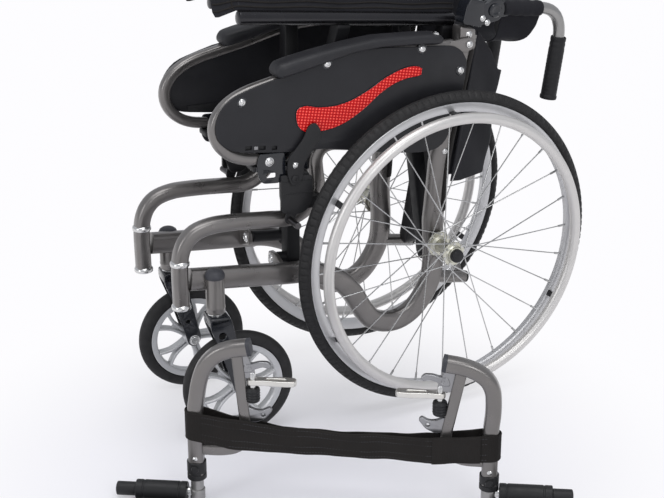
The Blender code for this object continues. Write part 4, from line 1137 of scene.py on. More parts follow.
# %% [markdown]
# The handrim is a round hoop outside the wheel, which the hands push. Six black tabs hold it.
# One tab is drawn flat as a short bent strip and then turned round the axle six times.

# %% Rear wheel: handrim and its tabs
HANDRIM_R, HANDRIM_OUT, HANDRIM_TUBE_R = 264, 38, 10
TABS = 6
hoop = turned(circle((HANDRIM_R, HANDRIM_OUT), HANDRIM_TUBE_R), wheel_place, 144, True)
both("left_hoop", hoop, handrim_metal, "left_rear_wheel", ["left_handrim"], "handrim_metal")
tab_line = [(267.6, 7), (268.4, 16), (268.5, 26), (268.5, 32)]
for number in range(TABS):
    spin = Matrix.Rotation(2 * pi * (number + 0.5) / TABS + pi / 2, 4, "Z")
    stand = wheel_place @ spin @ Matrix.Rotation(pi / 2, 4, "X")
    tab = tube(smooth_path(tab_line), ring_of(6, 2.3, 20, 0.6), stand, dome=1)
    both(f"left_hoop_tab_{number + 1}", tab, black_plastic, "left_rear_wheel")
report("handrims")

# %% [markdown]
# The hub has two zinc-plated flanges. Twenty-eight steel spokes leave them almost tangent,
# half leaning forward and half back, and cross on their way to the rim. A spoke is three
# straight bars: the wire, its nipple at the rim and its head in the flange.

# %% Rear wheel: hub and spokes
SPOKES, SPOKE_R, NIPPLE_R, HEAD_R = 28, 1.15, 2.1, 2.4
FLANGES, FACE_OFF, FLANGE_R = (125.5, 179.5), 1.6, 20
NIPPLE_AT, CROSSED = 265.4, 6
hub_profile = [(6.6, 122), (16, 122), (17, 123), (17, 124), (23.2, 124), (24, 124.8), (24, 126.2),
               (23.2, 127), (16, 128), (12, 132), (11.4, 153), (12, 174), (16, 177), (22.2, 178),
               (23, 178.8), (23, 180.2), (22.2, 181), (17, 182), (15, 184.5), (15, 189.4), (14.4, 190),
               (6.6, 190)]
both("left_hub", turned(hub_profile, facing((0, 0, WHEEL_R)), 48, True), zinc_plate,
     "left_rear_wheel", ["left_hub_and_spokes"], "rim_metal")
spokes = []
for i in range(SPOKES):
    lead = 1 if (i // 2) % 2 else -1
    x = FLANGES[i % 2] + FACE_OFF * lead
    hole, rim_turn = 2 * pi * i / SPOKES, 2 * pi * (i + CROSSED * lead) / SPOKES
    start = Vector((x, FLANGE_R * cos(hole), WHEEL_R + FLANGE_R * sin(hole)))
    end = Vector((WHEEL_X, NIPPLE_AT * cos(rim_turn), WHEEL_R + NIPPLE_AT * sin(rim_turn)))
    way = (end - start).normalized()
    inward = Vector((lead, 0, 0))
    spokes.append(rod(start, end, SPOKE_R, count=8))
    spokes.append(rod(end - way * 13, end + way * 1.5, NIPPLE_R, count=10))
    spokes.append(rod(start - inward * 1.4, start + inward * 1.6, HEAD_R, count=10))
both("left_spokes", joined(*spokes), spoke_steel, "left_rear_wheel")
report("hubs and spokes")

# %% [markdown]
# A caster is a fork round a silver plastic wheel with a solid tyre. Each of its five spokes is
# two thin walls that spread towards the rim, with a web between them near the hub. One spoke is
# drawn and turned five times.

# %% Caster: fork outline and plastic wheel
CASTER_R, TRAIL = 104, 38
CASTER_TURN, CASTER_SPOKES = radians(-6), 5
FORK = [(-17, 249), (21, 249), (27, 225), (40, 160), (52, 110), (46, 94), (36, 90), (26, 96),
        (22, 112), (2, 180), (-16, 228)]
FORK_HOLES = [circle((5, 214), 7), circle((18, 176), 6), circle((27, 144), 5)]


def caster_axes(swivel, x):
    """The side view of a caster that is turned about its stem."""
    plane = Matrix(((0, 0, 1, x * MM), (1, 0, 0, 0), (0, 1, 0, 0), (0, 0, 0, 1)))
    return swivel @ plane


def caster_wheel_mesh(place):
    rim = turned([(70, -8), (72, -10.4), (79, -11.4), (82, -11), (81, -8.5), (80, -8.2), (80, 8.2),
                  (81, 8.5), (82, 11), (79, 11.4), (72, 10.4), (70, 8), (69, 0)], place, 96, True)
    hub = turned([(5.5, -17), (13, -17), (14.5, -16), (16.5, -11), (17, 0), (16.5, 11), (14.5, 16),
                  (13, 17), (5.5, 17)], place, 40, True)
    parts = [rim, hub]
    for number in range(CASTER_SPOKES):
        turn = place @ Matrix.Rotation(2 * pi * number / CASTER_SPOKES + 0.31, 4, "Z")
        for side in (-1, 1):
            wall = [(14, 4.5), (30, 4.2), (48, 7), (62, 13.5), (71, 19)]
            wall = smooth_path([(out, side * across) for out, across in wall])
            parts.append(tube(wall, ring_of(9.6, 3.6, 20, 0.7), turn))
        web = [(12, -5), (34, -5), (46, -7.5), (46, 7.5), (34, 5), (12, 5)]
        parts.append(plate(web, 8, turn, corner=2))
    return joined(*parts)


print("caster helpers ready")

# %% [markdown]
# Both casters are turned the same way in the photograph, so they aren't mirrored: a loop
# builds each one in a swivel frame of its own. The fork and what is fixed to it ride on one
# body, the wheel and its tyre on another that spins in it.

# %% Casters
half_caster_tyre = [(80.4, 8), (82.6, 8.2), (84, 11.4), (87, 12.7), (91, 13), (96, 12), (100, 9.8),
                    (102.8, 6.6), (103.8, 3), (CASTER_R, 0)]
nut_profile = [(0, 0), (10.5, 0), (10.5, 1), (9, 1.2), (8.6, 4.2), (7.4, 5), (3.4, 5), (3, 4), (0, 4)]
for word, sign in SIDES:
    swivel = Matrix.Translation(spot(sign * CASTER_X, CASTER_Y, 0))
    swivel = swivel @ Matrix.Rotation(CASTER_TURN, 4, "Z")
    fork = [plate(FORK, 5, caster_axes(swivel, side), FORK_HOLES, corner=8, edge=1.2)
            for side in (-20.5, 20.5)]
    fork.append(block((-23, -17, 230), (23, 21, 249.5), swivel, edge=4))
    piece(f"{word}_fork", joined(*fork), gloss_black, f"{word}_caster_fork", [f"{word}_caster_fork"],
          "dark_plastic")
    stem = turned([(0, 248), (14, 248), (14.6, 249), (14.6, 251.6), (14, 252.5), (8, 252.5), (8, 287),
                   (0, 287)], swivel, 32)
    piece(f"{word}_fork_stem", stem, bolt_steel, f"{word}_caster_fork")
    for number, side in enumerate((-1, 1), 1):
        spin = swivel @ shift(side * 22.5, TRAIL, CASTER_R) @ Matrix.Rotation(side * pi / 2, 4, "Y")
        nut = turned(nut_profile, spin, 24)
        piece(f"{word}_fork_nut_{number}", nut, bolt_steel, f"{word}_caster_fork")
    axis = swivel @ shift(0, TRAIL, CASTER_R) @ Matrix.Rotation(pi / 2, 4, "Y")
    spindle = turned([(0, -24), (5, -24), (5, 24), (0, 24)], axis, 20)
    piece(f"{word}_fork_spindle", spindle, bolt_steel, f"{word}_caster_fork")
    piece(f"{word}_caster_disc", caster_wheel_mesh(axis), silver_plastic, f"{word}_caster_wheel",
          [f"{word}_caster_wheel"], "caster_plastic")
    tyre = turned(both_shoulders(half_caster_tyre), axis, 96, True)
    piece(f"{word}_caster_tyre_ring", tyre, tyre_rubber, f"{word}_caster_wheel",
          [f"{word}_caster_tyre"], "tyre_rubber")
report("casters")

# %% [markdown]
# Under the seat two braces cross like scissors. Each has a seat rail on top, two short hinge
# barrels below and two square arms with rounded feet. An arm is drawn along a line from a foot
# on the hinge to a head on the rail, so a small frame is laid along that line first.

# %% Scissor braces: frames and lines
RAIL_R, BARREL_R, CROSS_R = 12.5, 11, 8
WAY_UP = Vector((0, sin(SLOPE), cos(SLOPE)))
AXIS_T = Vector((0, cos(SLOPE), -sin(SLOPE)))
CROSS = HINGE_X / (HINGE_X + RAIL_X)


def on_cross_axis(y):
    return (0, y, hinge_z(y) + CROSS * (RAIL_Z0 - HINGE_Z0))


def arm_frame(foot, head):
    """A frame with local y from foot to head, and how far apart they are."""
    foot, head = Vector(foot), Vector(head)
    up = (head - foot).normalized()
    face = Vector((0, 1, 0))
    face = (face - up * face.dot(up)).normalized()
    return axes(foot, up.cross(face), up, face * -1), (head - foot).length


print("the braces cross at this height, mm:", round(on_cross_axis(0)[2]))

# %% [markdown]
# One loop builds both braces, and a sign tells which way each leans. Three of the four arms
# wear a plastic sleeve at the foot. Rail, barrels and arms all ride on the brace's own body,
# so the scissor opens and closes as one.

# %% Scissor braces: rails, barrels and arms
BRACES = (("brace_a", 1, (-275, -218, 18), (11, 11, 20)),
          ("brace_b", -1, (-229, -172, 18), (41.8, 41.8, 34)))
for word, sign, front, rear in BRACES:
    rail_ends = [(-sign * RAIL_X, y, rail_z(y)) for y in (-371, 52)]
    piece(f"{word}_rail", rod(*rail_ends, RAIL_R, dome=3.5, count=32), rail_paint, word, [word],
          "scissor_paint")
    for number, ends in enumerate(((-302, front[0] + 13), (rear[0] - 13, 55)), 1):
        barrel_ends = [(sign * HINGE_X, y, hinge_z(y)) for y in ends]
        piece(f"{word}_barrel_{number}", rod(*barrel_ends, BARREL_R, dome=0.6), brace_black, word)
    for part_word, (foot_y, head_y, tail) in (("front", front), ("rear", rear)):
        frame_of, long = arm_frame((sign * HINGE_X, foot_y, hinge_z(foot_y)),
                                   (-sign * RAIL_X, head_y, rail_z(head_y)))
        outline = [(14, long - 6), (-14, long - 6), (-14, -tail + 12), (-8, -tail), (8, -tail),
                   (14, -tail + 12)]
        arm = plate(outline, 26, frame_of, corner=9, edge=3)
        piece(f"{word}_{part_word}_arm", arm, brace_black, word)
        if word == "brace_b" or part_word == "rear":
            sleeve = tube([(0, -tail + 14), (0, 34 - tail)], ring_of(14.8, 13.8, 32, 0.35), frame_of)
            piece(f"{word}_{part_word}_sleeve", sleeve, black_plastic, word)
report("braces")

# %% [markdown]
# Two bolts go through the crossing arms, and the rear arm of one brace carries a small eye for
# a link. The eye is a turned ring with a plug in it.

# %% Scissor braces: cross bolts and link eye
for number, (first, last) in enumerate(((-260, -181), (14, 58)), 1):
    bolt = rod(on_cross_axis(first), on_cross_axis(last), CROSS_R)
    piece(f"cross_bolt_{number}", bolt, bolt_steel, "brace_a")
    head = turned([(0, 0), (13, 0), (13, 1.4), (11, 2), (10.4, 4.6), (8.6, 5.8), (0, 6)],
                  facing(on_cross_axis(last - 1.5), AXIS_T), 32)
    piece(f"cross_head_{number}", head, bolt_steel, "brace_a")
eye = Vector((-HINGE_X, 52, hinge_z(52))).lerp(Vector((RAIL_X, 52, rail_z(52))), 0.405)
eye_place = facing(eye, (0, 1, 0))
ring = turned([(7.5, -14), (13, -14), (13, 3), (12.2, 4), (8.4, 4), (7.5, 3)], eye_place, 32, True)
piece("link_eye", ring, hook_metal, "brace_b")
plug = turned([(0, -12), (7.6, -12), (7.6, 1.5), (0, 1.5)], eye_place, 24)
piece("link_eye_plug", plug, black_plastic, "brace_b")
report("cross bolts")

# %% [markdown]
# Woven goods. Two sets of bands crossing at right angles make the weave, and the threads'
# width sets the scale: 0.9 mm for the nylon and 2 mm for the webbing. A third set is added, so
# that the weave shows on faces that look any way. Sewing thread is too thin to show a weave,
# so it gets the finish of a black moulding.

# %% Nylon cloth, webbing and thread
def woven(name, dark, light, thread_width, depth, sheen):
    material, tree, shader = finish_of(name, (dark, light), (16.0, 6.0), 0.78, Sheen_Weight=sheen,
                                       Sheen_Roughness=0.4, Specular_IOR_Level=0.2)
    where = where_in(tree)
    bands = [bands_in(tree, where, axis, thread_width, Distortion=0.3) for axis in "XYZ"]
    crossing = combined(tree, "MULTIPLY", bands[1], bands[2])
    raise_bump(tree, shader, combined(tree, "ADD", crossing, bands[0]), 0.35, depth)
    return material


nylon = woven("nylon", (0.0085, 0.0085, 0.011), (0.02, 0.02, 0.024), 0.0009, 0.0003, 0.06)
webbing = woven("webbing", (0.0105, 0.0092, 0.0085), (0.021, 0.0185, 0.017), 0.002, 0.0006, 0.03)
thread = black_moulding("thread", (0.03, 0.03, 0.034), 0.6, 3000.0, 0.0001)
print("finishes so far:", len(bpy.data.materials))

# %% [markdown]
# A sheet here is a grid of points with a thickness. A function gives the middle surface, with
# all folds and slack in it, and the grid is offset to both sides. Near each edge the offset
# grows a little and dips at the seam, which draws the doubled hem. A cloth simulation could
# find the folds, but not the folds of the photograph.

# %% Sheets of cloth
def from_edges(spots, axis):
    """How far each point of a grid lies from the nearer of its two edges, along one axis."""
    steps = np.linalg.norm(np.diff(spots, axis=axis), axis=2)
    start = np.zeros_like(np.take(steps, [0], axis=axis))
    reach = np.concatenate([start, np.cumsum(steps, axis=axis)], axis=axis)
    return np.minimum(reach, np.take(reach, [-1], axis=axis) - reach)


def grid_sheet(where, across, along, thick=2.2, hem=9.0, ring=False):
    """where(u, v) is a point in millimetres; across and along list the u and v."""
    spots = np.array([[where(u, v) for v in along] for u in across], float)
    if ring:
        first = np.roll(spots, -1, axis=0) - np.roll(spots, 1, axis=0)
    else:
        first = np.gradient(spots, axis=0)
    normals = np.cross(first, np.gradient(spots, axis=1))
    normals /= np.linalg.norm(normals, axis=2, keepdims=True)
    far = from_edges(spots, 1)
    if not ring:
        far = np.minimum(far, from_edges(spots, 0))
    swell = np.interp(far, [0, 0.6, 2, hem - 2, hem - 0.8, hem], [0.45, 1.0, 1.3, 1.3, 0.8, 1.0])
    half = normals * (thick / 2 * swell)[..., None]
    rows, cols = spots.shape[:2]
    points = np.concatenate([(spots + half).reshape(-1, 3), (spots - half).reshape(-1, 3)])
    other = rows * cols
    faces = []
    for i in range(rows if ring else rows - 1):
        j = (i + 1) % rows
        for k in range(cols - 1):
            a, b, c, d = i * cols + k, j * cols + k, j * cols + k + 1, i * cols + k + 1
            faces += [(a, b, c, d), (d + other, c + other, b + other, a + other)]
        for k in (0, cols - 1):
            a, b = i * cols + k, j * cols + k
            faces.append((a, a + other, b + other, b))
    if not ring:
        for i in (0, rows - 1):
            for k in range(cols - 1):
                a, b = i * cols + k, i * cols + k + 1
                faces.append((a, b, b + other, a + other))
    return mesh_of("sheet", [Vector(point) * MM for point in points], faces, AT_ZERO)


print("sheet builder ready")

# %% [markdown]
# Seams are sewn with thick thread that can be seen from near by. Each stitch is a small spindle
# of geometry: four rings of four points, thin at both ends.

# %% Rows of stitches
STITCH, STITCH_GAP, THREAD_HALF = 3.2, 1.6, 0.55


def stitches(line, up):
    """Thread dashes along a line of points in millimetres, lying on a surface."""
    dashes = []
    line = [Vector(point) for point in line]
    total = 0.0
    for start, end in zip(line, line[1:]):
        step = (end - start).length
        way = (end - start).normalized()
        while total < step:
            first = start + way * total
            dashes.append((first, first + way * min(STITCH, max(step - total, 0.8)), way))
            total += STITCH + STITCH_GAP
        total -= step
    points, faces = [], []
    spindle = [*quads(4, 4, False), (3, 2, 1, 0), (12, 13, 14, 15)]
    for first, last, way in dashes:
        side = way.cross(Vector(up)).normalized() * THREAD_HALF
        lift = Vector(up).normalized() * THREAD_HALF * 0.8
        base = len(points)
        for share, size in ((0, 0.3), (0.25, 1.0), (0.75, 1.0), (1, 0.3)):
            at = first.lerp(last, share)
            points += [at + side * size, at + lift * size, at - side * size, at - lift * size]
        faces += [tuple(base + corner for corner in face) for face in spindle]
    return mesh_of("stitches", [point * MM for point in points], faces, AT_ZERO, 1e-9)


print("stitch builder ready")

# %% [markdown]
# The seat is one length of nylon between the two seat rails. Folded, it stands up in a high
# ridge. Each half hangs on its own rail, bellies a little and laps over the rail's front end.
# A formula gives all that, from how far a point lies from the rail and from the front.

# %% Seat cloth: its surface
SEAT_HALF = 203.4
SEAT_REAR = 56
ridge = np.sqrt(SEAT_HALF ** 2 - RAIL_X ** 2)


def seat_frame(sign):
    """A rail's middle, the way that the cloth goes from it, and the way that its face looks."""
    out = (Vector((-sign * RAIL_X, 0, 0)) + WAY_UP * ridge).normalized()
    return Vector((sign * RAIL_X, 0, RAIL_Z0)), out, AXIS_T.cross(out) * sign


def seat_front(out):
    """The front edge runs on past the rail's end, to cover it when the chair is open."""
    return np.interp(out, [11.8, 18, 30, 199], [-418, -423, -425, -421])


def seat_surface(sign):
    """A function that gives a point of one half: t from front to rear, out from the rail."""
    start, out_way, face = seat_frame(sign)

    def seat_point(t, out):
        front = seat_front(out)
        at = front + (SEAT_REAR - front) * t
        slack = sin(pi * min(max((out - 13) / 186, 0), 1))
        wave = 2.6 * sin(at * 0.021 + 0.6) + 1.6 * sin(at * 0.055 + out * 0.03)
        belly = slack * (5.5 + wave) - 1.2 * np.exp(-((out - 26) / 3.0) ** 2)
        flap = np.interp(at, [-412, -378], [1, 0]) * np.interp(out, [12, 44], [1, 0])
        ripple = 1.3 * sin(at * 0.045) * np.interp(out, [12, 22, 40, 60], [0, 1, 1, 0])
        return start + AXIS_T * at + out_way * (out - 12 * flap + ripple) + face * (belly + 2.5 * flap)
    return seat_point


print("ridge of the folded seat above the rails, mm:", round(ridge))

# %% [markdown]
# Each half is a sheet with piping along the rail and across the front, and four rows of
# stitches. The grid is finer where the cloth bends round the rail and at its hems.

# %% Seat cloth
SEAT_OUTS = [11.8, 12.6, 14, 15.4, 18, 21, 24, 26, 28, 31, 36, 42, 48, 54, *np.linspace(60, 186, 22),
             190, 194, 197, 198.4]
SEAT_SHARES = [0, 0.002, 0.006, 0.014, 0.02, 0.026, *np.linspace(0.04, 0.96, 44), 0.976, 0.986,
               0.994, 0.998, 1]
for word, sign in SIDES:
    body = f"{word}_seat_cloth"
    out_way, face = seat_frame(sign)[1:]
    seat_point = seat_surface(sign)
    mesh = grid_sheet(seat_point, SEAT_SHARES, SEAT_OUTS, 2.4, 9.5)
    seat = piece(f"{word}_seat", mesh, nylon, body, [body], "cloth", sharp=60)
    for number, out in enumerate((18.5, 27.5), 1):
        line = [seat_point(t, out) + face * 1.4 for t in np.linspace(0.004, 0.996, 60)]
        piping = tube(line, ring_of(1.6, count=12), AT_ZERO, out_way, dome=1)
        piece(f"{word}_seat_piping_{number}", piping, webbing, body)
    line = [seat_point(0.078, out) + face * 1.4 for out in np.linspace(13, 196, 50)]
    piping = tube(line, ring_of(1.4, count=12), AT_ZERO, AXIS_T, dome=1)
    piece(f"{word}_seat_front_piping", piping, webbing, body)
    along = [[(t, out) for t in np.linspace(0.01, 0.99, 60)] for out in (34, 188)]
    across = [[(t, out) for out in np.linspace(first, 194, 40)] for t, first in ((0.105, 20), (0.03, 36))]
    rows = [stitches([seat_point(*at) + face * 1.5 for at in row], face) for row in along + across]
    piece(f"{word}_seat_stitches", joined(*rows), thread, body)
report("seat cloths")

# %% [markdown]
# The back is nylon too. Below the hinges it hangs from the uprights and folds into a W as the
# chair closes. Seen from above that is a plan line with rounded corners. The sheet hangs from
# this line, and its top and foot rise and fall along it, as the edges in the photograph do.

# %% Hanging sheets
def fold_line(corners, radius):
    """A plan line through its corners, each one rounded, and its length."""
    rows = [np.array(corner, float) for corner in corners]
    made = [rows[0]]
    for before, corner, after in zip(rows, rows[1:], rows[2:]):
        first = corner + (before - corner) / np.linalg.norm(before - corner) * radius
        last = corner + (after - corner) / np.linalg.norm(after - corner) * radius
        made += [(1 - t) ** 2 * first + 2 * t * (1 - t) * corner + t * t * last
                 for t in np.linspace(0, 1, 9)]
    made.append(rows[-1])
    made = np.array(made)
    long = np.concatenate([[0], np.cumsum(np.linalg.norm(np.diff(made, axis=0), axis=1))])

    def at(s):
        return np.array([np.interp(s, long, made[:, 0]), np.interp(s, long, made[:, 1])])
    return at, long[-1]


def hanging_sheet(plan, total, origin, up, back, tops, foot, bulge, phase, count=44, rows=46):
    """The surface of a sheet that hangs from a plan line, and the grid to sample it on.

    s runs along the line and share from the foot up; tops and foot give both edges' heights.
    """
    def where(s, share):
        top = np.interp(s / total, *zip(*tops))
        low = np.interp(s / total, *zip(*foot))
        high = low + (top - low) * share
        ahead = plan(min(s + 2, total)) - plan(max(s - 2, 0))
        ahead /= np.linalg.norm(ahead)
        free = sin(pi * s / total) * (0.35 + 0.65 * sin(pi * min(max(share, 0), 1)))
        wave = sin(high * 0.028 + phase) + 0.5 * sin(high * 0.06 + s * 0.05 + phase * 2)
        push = bulge * free * wave
        across, deep = plan(s) + np.array([-ahead[1], ahead[0]]) * push
        return Vector(origin) + Vector((across, 0, 0)) + back * deep + up * high
    edge = [0, 1.2, 3, 6, 9]
    stations = [*edge, *np.linspace(14, total - 14, count), *[total - at for at in edge[::-1]]]
    shares = [0, 0.004, 0.012, 0.024, 0.034, *np.linspace(0.05, 0.95, rows), 0.966, 0.976, 0.988,
              0.996, 1]
    return where, stations, shares


def blend_at_fold(halves):
    """Bakes each half's place in the scene into its mesh."""
    for made, (word, sign) in zip(halves, SIDES):
        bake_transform(made)


print("hanging sheet builder ready")

# %% [markdown]
# Each half of the lower back is one sheet that turns softly where it folds. It stands for
# both the outer and the inner part of the imported cloth.

# %% Lower back cloth
BACK_LEAN = atan2(58, 337)
back_up = Vector((0, sin(BACK_LEAN), cos(BACK_LEAN)))
back_out = Vector((0, cos(BACK_LEAN), -sin(BACK_LEAN)))
BACK_OUTER, BACK_INNER, VALLEY_X = 135, 99, 40
outer_depth = np.sqrt(BACK_OUTER ** 2 - (FRAME_X - VALLEY_X) ** 2)
inner_depth = np.sqrt(BACK_INNER ** 2 - VALLEY_X ** 2)
back_origin = (0, 54, 540)
back_plan, back_total = fold_line([(FRAME_X, 1.5), (VALLEY_X, outer_depth),
                                   (1.6, outer_depth - inner_depth)], 16)
where, stations, shares = hanging_sheet(
    back_plan, back_total, back_origin, back_up, back_out,
    [(0, 164), (0.3, 120), (0.5, 80), (0.6, 78), (0.75, 90), (1, 140)],
    [(0, -124), (0.17, -128), (0.4, -125), (0.57, -124), (0.8, -136), (1, -146)], 3.6, 0.7)
backs = both("left_back", grid_sheet(where, stations, shares, 2.2, 10.0), nylon, None,
             ["left_back_cloth_outer", "left_back_cloth_inner"], "cloth", sharp=60)
blend_at_fold(backs)
report("lower back cloths")
print("back cloth along the fold, mm:", round(back_total))

# %% [markdown]
# A strip of webbing is folded round each upright and clamps the back cloth to it. It follows
# the same bent line as the tube, a little outside of it. The lower back cloth rests on the
# strips.

# %% Strip that clamps the lower back cloth to the upright
STRIP_DEEP, STRIP_WIDE = 22.2, 15.2
upright = smooth_path([(0, 366), (8, 463), (32.5, 583), (54, 684)], 7.0, 300)


def strip_point(i, angle):
    """A point of the webbing, at this step up the tube and this angle round it."""
    y, z = upright[int(i)]
    ahead = upright[min(int(i) + 1, len(upright) - 1)] - upright[max(int(i) - 1, 0)]
    ahead /= np.linalg.norm(ahead)
    round_it = STRIP_DEEP * cos(angle)
    out = frame_plane @ (Vector((y + ahead[1] * round_it, z - ahead[0] * round_it,
                                 STRIP_WIDE * sin(angle))) * MM)
    return (out - ZERO) / MM


strip = grid_sheet(strip_point, range(len(upright)), np.linspace(-1.25, 1.25, 17), 2.0, 6.0)
strips = both("left_back_strip", strip, webbing, "left_frame", sharp=60)
long_strip = sum(np.linalg.norm(b - a) for a, b in zip(upright, upright[1:])) * MM
report("back strips")

# %% [markdown]
# Above the hinges the back is sewn into a sleeve round each folding cane and drops between
# them in a soft W. It is a hanging sheet again, but it hangs from the canes, which are folded
# back and lie nearly flat, so "up" runs along a cane and "back" under it.

# %% Upper back cloth
CANE_DROP = radians(7.9)
cane_way = Vector((0, cos(CANE_DROP), -sin(CANE_DROP)))
cane_under = Vector((0, -sin(CANE_DROP), -cos(CANE_DROP)))
top_origin = (0, 180, 732.2)
top_plan, top_total = fold_line([(FRAME_X - 6.2, 11.5), (FRAME_X - 11, 64), (FRAME_X / 2, 77),
                                 (11, 64), (1.6, 3)], 20)
where, stations, shares = hanging_sheet(
    top_plan, top_total, top_origin, cane_way, cane_under,
    [(0, 44), (0.12, 40), (0.25, 28), (0.4, 8), (0.5, -2), (0.75, 6), (1, 44)],
    [(0, -42), (0.5, -44), (0.85, -50), (1, -66)], 2.4, 1.9, 40, 20)
tops = both("left_top", grid_sheet(where, stations, shares, 2.2, 7.0), nylon, None,
            ["left_top_cloth_outer", "left_top_cloth_inner"], "cloth", sharp=60)
blend_at_fold(tops)
report("upper back cloths")

# %% [markdown]
# The sleeve round a cane is padded, as it is what the sitter's shoulders meet. It is a tube
# whose size swells unevenly along its length, so that it doesn't look like a pipe.

# %% Padded cane sleeves
mid = Vector((FRAME_X, *top_origin[1:]))
sleeve_line = [mid + cane_way * at for at in np.linspace(-46, 36, 26)]
swell = [1 + 0.05 * sin(i * 0.9) + 0.07 * sin(pi * i / 25) for i in range(26)]
sleeve = tube(sleeve_line, ring_of(14.6, 14.2, 32), AT_ZERO, LEFTWARD, dome=2.5, sizes=swell)
for made in both("left_cane_sleeve", sleeve, nylon, "left_cane", sharp=60):
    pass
report("cane sleeves")

# %% [markdown]
# The two leg supports stand in front, taken off the chair, with their calf strap round both
# posts. Each is a bent tube with a flat strut behind it, so both are drawn in the plane of
# that tube: local x along the ground, y up and z towards the viewer.

# %% Leg supports: their planes and outlines
LEG_ALONG = Vector((0.533, 0.846, 0)).normalized()
TO_VIEWER = Vector((LEG_ALONG.y, -LEG_ALONG.x, 0))
LEG_APART, POST_S, BARREL_Z = 499, 2.4, 17
leg_base = Vector((297, -572, 0))
leg_places = {"right": axes(leg_base, LEG_ALONG, (0, 0, 1), TO_VIEWER),
              "left": axes(leg_base + LEG_ALONG * LEG_APART, -LEG_ALONG, (0, 0, 1), TO_VIEWER)}
BENDS = {"right": [(POST_S, 47), (POST_S, 168), (6, 195), (12, 230), (22, 258), (40, 279), (62, 290),
                   (95, 296)],
         "left": [(POST_S, 52), (POST_S, 166), (0.4, 190), (0.4, 215), (3, 236), (12.7, 255),
                  (31.7, 269), (55, 277), (81, 281)]}
STRUTS = {"right": [(76, 284), (88, 155), (86, 128), (74, 110), (52, 103), (8, 102)],
          "left": [(54, 268), (75, 158), (76, 132), (66, 113), (48, 105), (8, 103)]}
HOOK = [(84, 251), (96, 250), (106, 257), (120, 262), (129, 258), (134, 264), (128, 271), (113, 271),
        (100, 267), (88, 267)]
LOW_HOOK = [(84, 162), (106, 158), (122, 166), (134, 182), (129, 188), (116, 181), (104, 182),
            (90, 190)]
MOUNT = [(79, 240), (105, 240), (105, 254), (90, 288), (76, 290)]


def standing(place, s):
    """A frame with local z up, at this distance along the leg support."""
    return place @ shift(s, 0, 0) @ Matrix.Rotation(-pi / 2, 4, "X")


def lying(place, height):
    """A frame with local y towards the viewer, at this height in the leg support's plane."""
    return place @ shift(0, height, 0) @ Matrix.Rotation(pi / 2, 4, "X")


print("leg supports stand apart, mm:", LEG_APART)

# %% [markdown]
# The bent tube ends in a rubber plug, and a flat oval strut runs behind it from the bend back
# to the post. Both are carried sections, as the frame's tubes are.

# %% Leg supports: bent tubes and struts
for word, place in leg_places.items():
    bend = tube(smooth_path(BENDS[word]), ring_of(13.5, 13.5, 40, 0.62), place)
    piece(f"{word}_leg_bend", bend, frame_paint, "leg_set", [f"{word}_leg_hanger"], "frame_paint")
    before, end = [Vector((*point, 0)) for point in BENDS[word][-2:]]
    way = (end - before).normalized()
    plug = tube([end - way * 2, end + way * 4], ring_of(13.7, 13.7, 40, 0.6), place, dome=1.2)
    piece(f"{word}_leg_plug", plug, cap_rubber, "leg_set")
    strut = tube(smooth_path(STRUTS[word]), ring_of(7.5, 9.5, 32, 0.45), place)
    piece(f"{word}_leg_strut", strut, frame_paint, "leg_set")
report("leg tubes")

# %% [markdown]
# At the foot of each post a plastic collar holds the lower tube, which slides in it. It has a
# round button in front and a small bolt above. A collar is turned, so its groove takes only
# four more points of the profile. The two collars end at different heights.

# %% Leg supports: collars
COLLAR_FOOT = {"right": 46, "left": 52}
COLLAR_TOP = 80
for word, place in leg_places.items():
    foot = COLLAR_FOOT[word]
    collar = turned([(13.4, foot), (15.6, foot), (16.5, foot + 1), (16.5, foot + 9), (15.2, foot + 10),
                     (15.2, foot + 12), (16.5, foot + 13), (16.5, COLLAR_TOP - 1.4),
                     (15.6, COLLAR_TOP), (13.4, COLLAR_TOP)], standing(place, POST_S), 40, True)
    piece(f"{word}_leg_collar", collar, black_plastic, "leg_set")
    button = turned([(0, 12), (5, 12), (6.4, 14), (6.4, 19), (5.6, 20.4), (0, 20.8)],
                    place @ shift(POST_S, COLLAR_TOP - 10, 0), 24)
    piece(f"{word}_collar_button", button, black_plastic, "leg_set")
    bolt = bolt_head(place @ shift(POST_S, COLLAR_TOP + 8, 13), 3.4, 2.4, 0.8)
    piece(f"{word}_post_bolt", bolt, bolt_steel, "leg_set")
report("collars")

# %% [markdown]
# Beyond each strut stand the flat hooks that hang the leg support on the chair, and a latch
# with a steel pin, a knurled knob and a lever. In the photograph those of the left support
# sit a little lower and nearer its post, so each side has a shift of its own.

